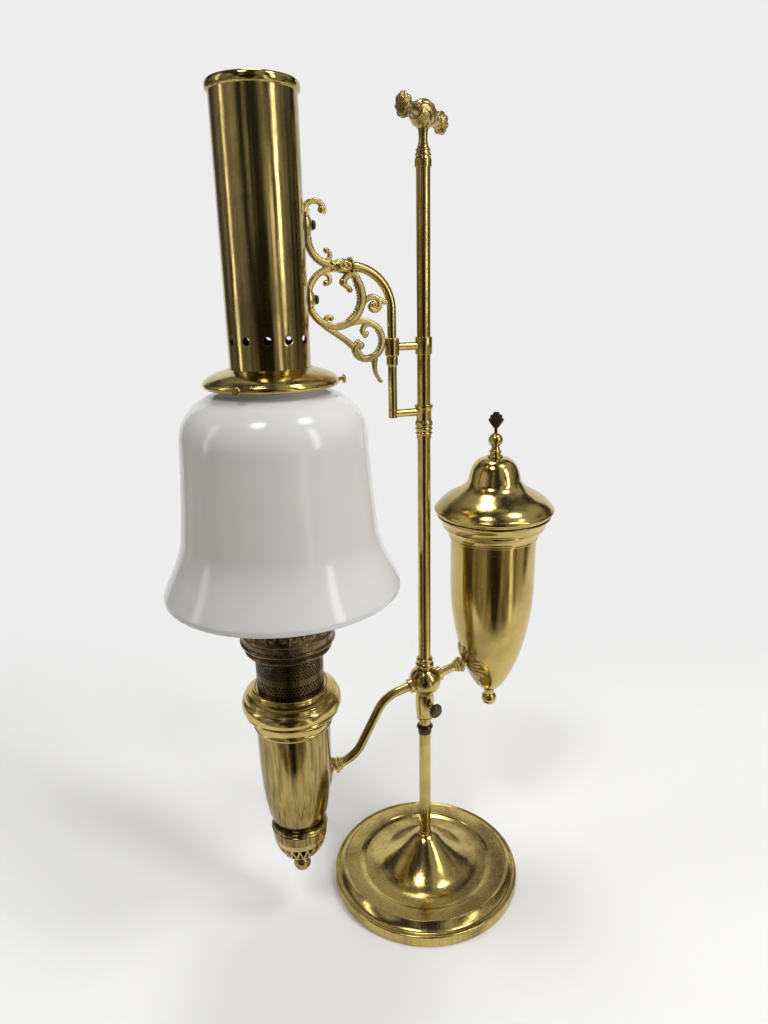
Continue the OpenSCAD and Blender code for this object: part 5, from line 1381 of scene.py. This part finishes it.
sheet_points = []
sheet_faces = []
for i, (far, high) in enumerate(sheet_rows()):
    half_wide = 0.73 + 0.55 * far
    for side in (1, -1):
        sheet_points.append(back_way * far + left_way * half_wide * side + Vector((0, 0, high)))
    if i:
        sheet_faces.append((2 * i - 2, 2 * i - 1, 2 * i + 1, 2 * i))
sheet_mesh = bpy.data.meshes.new("paper sheet")
sheet_mesh.from_pydata(sheet_points, [], sheet_faces)
sheet_mesh.shade_smooth()
sheet_mesh.materials.append(paper_finish())
sheet = bpy.data.objects.new("paper_sheet", sheet_mesh)
bpy.context.scene.collection.objects.link(sheet)
print("paper sheet:", len(sheet_faces), "strips")

# %% [markdown]
# Two tall strips and three round ceiling lamps give a soft light. In polished brass each shows as a
# bright image of itself, and at full strength that image is white. So each is split in two: one that
# metal does not reflect, and one just before it, with a share of the power, that metal does reflect.

# %% Lamps

GLINT_AHEAD = 0.02


def soft_lamp(name, place, aim, wide, high, power, glint):
    """A rectangular soft lamp, or a round one where it is as wide as it is high. Metal reflects only
    the share glint of it, so that its image in the brass keeps the colour of the brass."""
    way = (Vector(aim) - Vector(place)).normalized()
    for kind, share, ahead in (("light", 1 - glint, 0.0), ("glint", glint, GLINT_AHEAD)):
        data = bpy.data.lights.new(f"{name} {kind}", "AREA")
        data.shape = "DISK" if wide == high else "RECTANGLE"
        data.size = wide
        data.size_y = high
        data.energy = power * share
        lamp = bpy.data.objects.new(f"{name} {kind}", data)
        lamp.location = Vector(place) + way * ahead
        lamp.rotation_euler = way.to_track_quat("-Z", "Y").to_euler()
        lamp.visible_glossy = kind == "glint"
        bpy.context.scene.collection.objects.link(lamp)


soft_lamp("key strip", (1.05, -1.55, 1.1), aim=(-0.05, 0, 0.35), wide=0.3, high=1.5, power=15.5, glint=0.45)
soft_lamp("left strip", (-1.7, 0.3, 0.9), aim=(-0.05, 0, 0.4), wide=0.25, high=1.4, power=4, glint=0.6)
for number, (x, y, power) in enumerate(((-0.9, -0.8, 12.5), (0.0, 0.45, 10.5), (0.8, -0.8, 12.5)), 1):
    soft_lamp(f"ceiling lamp {number}", (x, y, 2.3), aim=(x * 0.5 + 0.1, 0.4, 0.2), wide=0.55, high=0.55,
              power=power, glint=0.65)
print("lamps:", len(bpy.data.lights))

# %% [markdown]
# Brass looks like brass only where it has something to reflect. A picture of a room could surround it.
# Noise does as well: dim patches above, wooden planks below, a dark upright shape where the viewer
# stands, and one bright slit beside it, like a window between curtains.

# %% Room

world = bpy.data.worlds.new("dim room")
world.use_nodes = True
around = Wire(world.node_tree).node("ShaderNodeTexCoord", out="Generated")
patches = around.stretched(2.2, 2.2, 0.6).noise(1.0, 2.0).between(0.42, 0.62)
dim = patches.tint((0.035, 0.035, 0.035, 1), (0.42, 0.41, 0.39, 1))
planks = around.stretched(7.0, 7.0, 1.5).noise(1.0, 3.0).between(0.35, 0.65)
wooden = planks.tint((0.07, 0.058, 0.04, 1), (0.50, 0.44, 0.33, 1))
x, y, height = around.parts()
room_tone = height.between(-0.22, -0.02).tint(wooden, dim)
in_front = ((x * back_way.x + y * back_way.y) * -1.0).between(0.0, 0.2)
aside = x * back_way.y - y * back_way.x
reach = height * 0.45 + 0.40
upright_shape = (aside * aside - reach * reach).between(0.012, -0.008) * in_front
upright_shape = upright_shape * height.between(0.12, 0.02)
slit = aside.between(0.56, 0.6) * aside.between(0.70, 0.66) * in_front * height.between(0.2, 0.1)
lit = slit.tint(room_tone, (1.5, 1.42, 1.25, 1))
feed(world.node_tree.nodes["Background"], Color=upright_shape.tint(lit, (0.02, 0.016, 0.013, 1)))
bpy.context.scene.world = world
bpy.context.scene.view_settings.view_transform = "Standard"
print("room:", len(world.node_tree.nodes), "nodes")

# %% [markdown]
# The camera stands where the photographer stood: close, a little above the middle, looking down, and
# tilted by about a degree. A close camera with a short lens gives the strong perspective of the view.

# %% Camera

forward = Vector((0.3529, 0.8878, -0.2953)).normalized()
level = forward.cross(Vector((0, 0, 1))).normalized()
upward = level.cross(forward)
camera_tilt = math.radians(-1.16)
right = level * math.cos(camera_tilt) + upward * math.sin(camera_tilt)
above = upward * math.cos(camera_tilt) - level * math.sin(camera_tilt)
camera_data = bpy.data.cameras.new("camera")
camera_data.lens = 25.45
camera_data.sensor_width = 36.0
camera_data.clip_start = 0.01
camera = bpy.data.objects.new("camera", camera_data)
facing = Matrix((right, above, -forward)).transposed().to_4x4()
camera_place = Vector((-0.2160, -0.4632, 0.4852))
camera.matrix_world = Matrix.Translation(camera_place) @ facing
bpy.context.scene.collection.objects.link(camera)
bpy.context.scene.camera = camera
print("camera lens:", camera_data.lens, "mm")
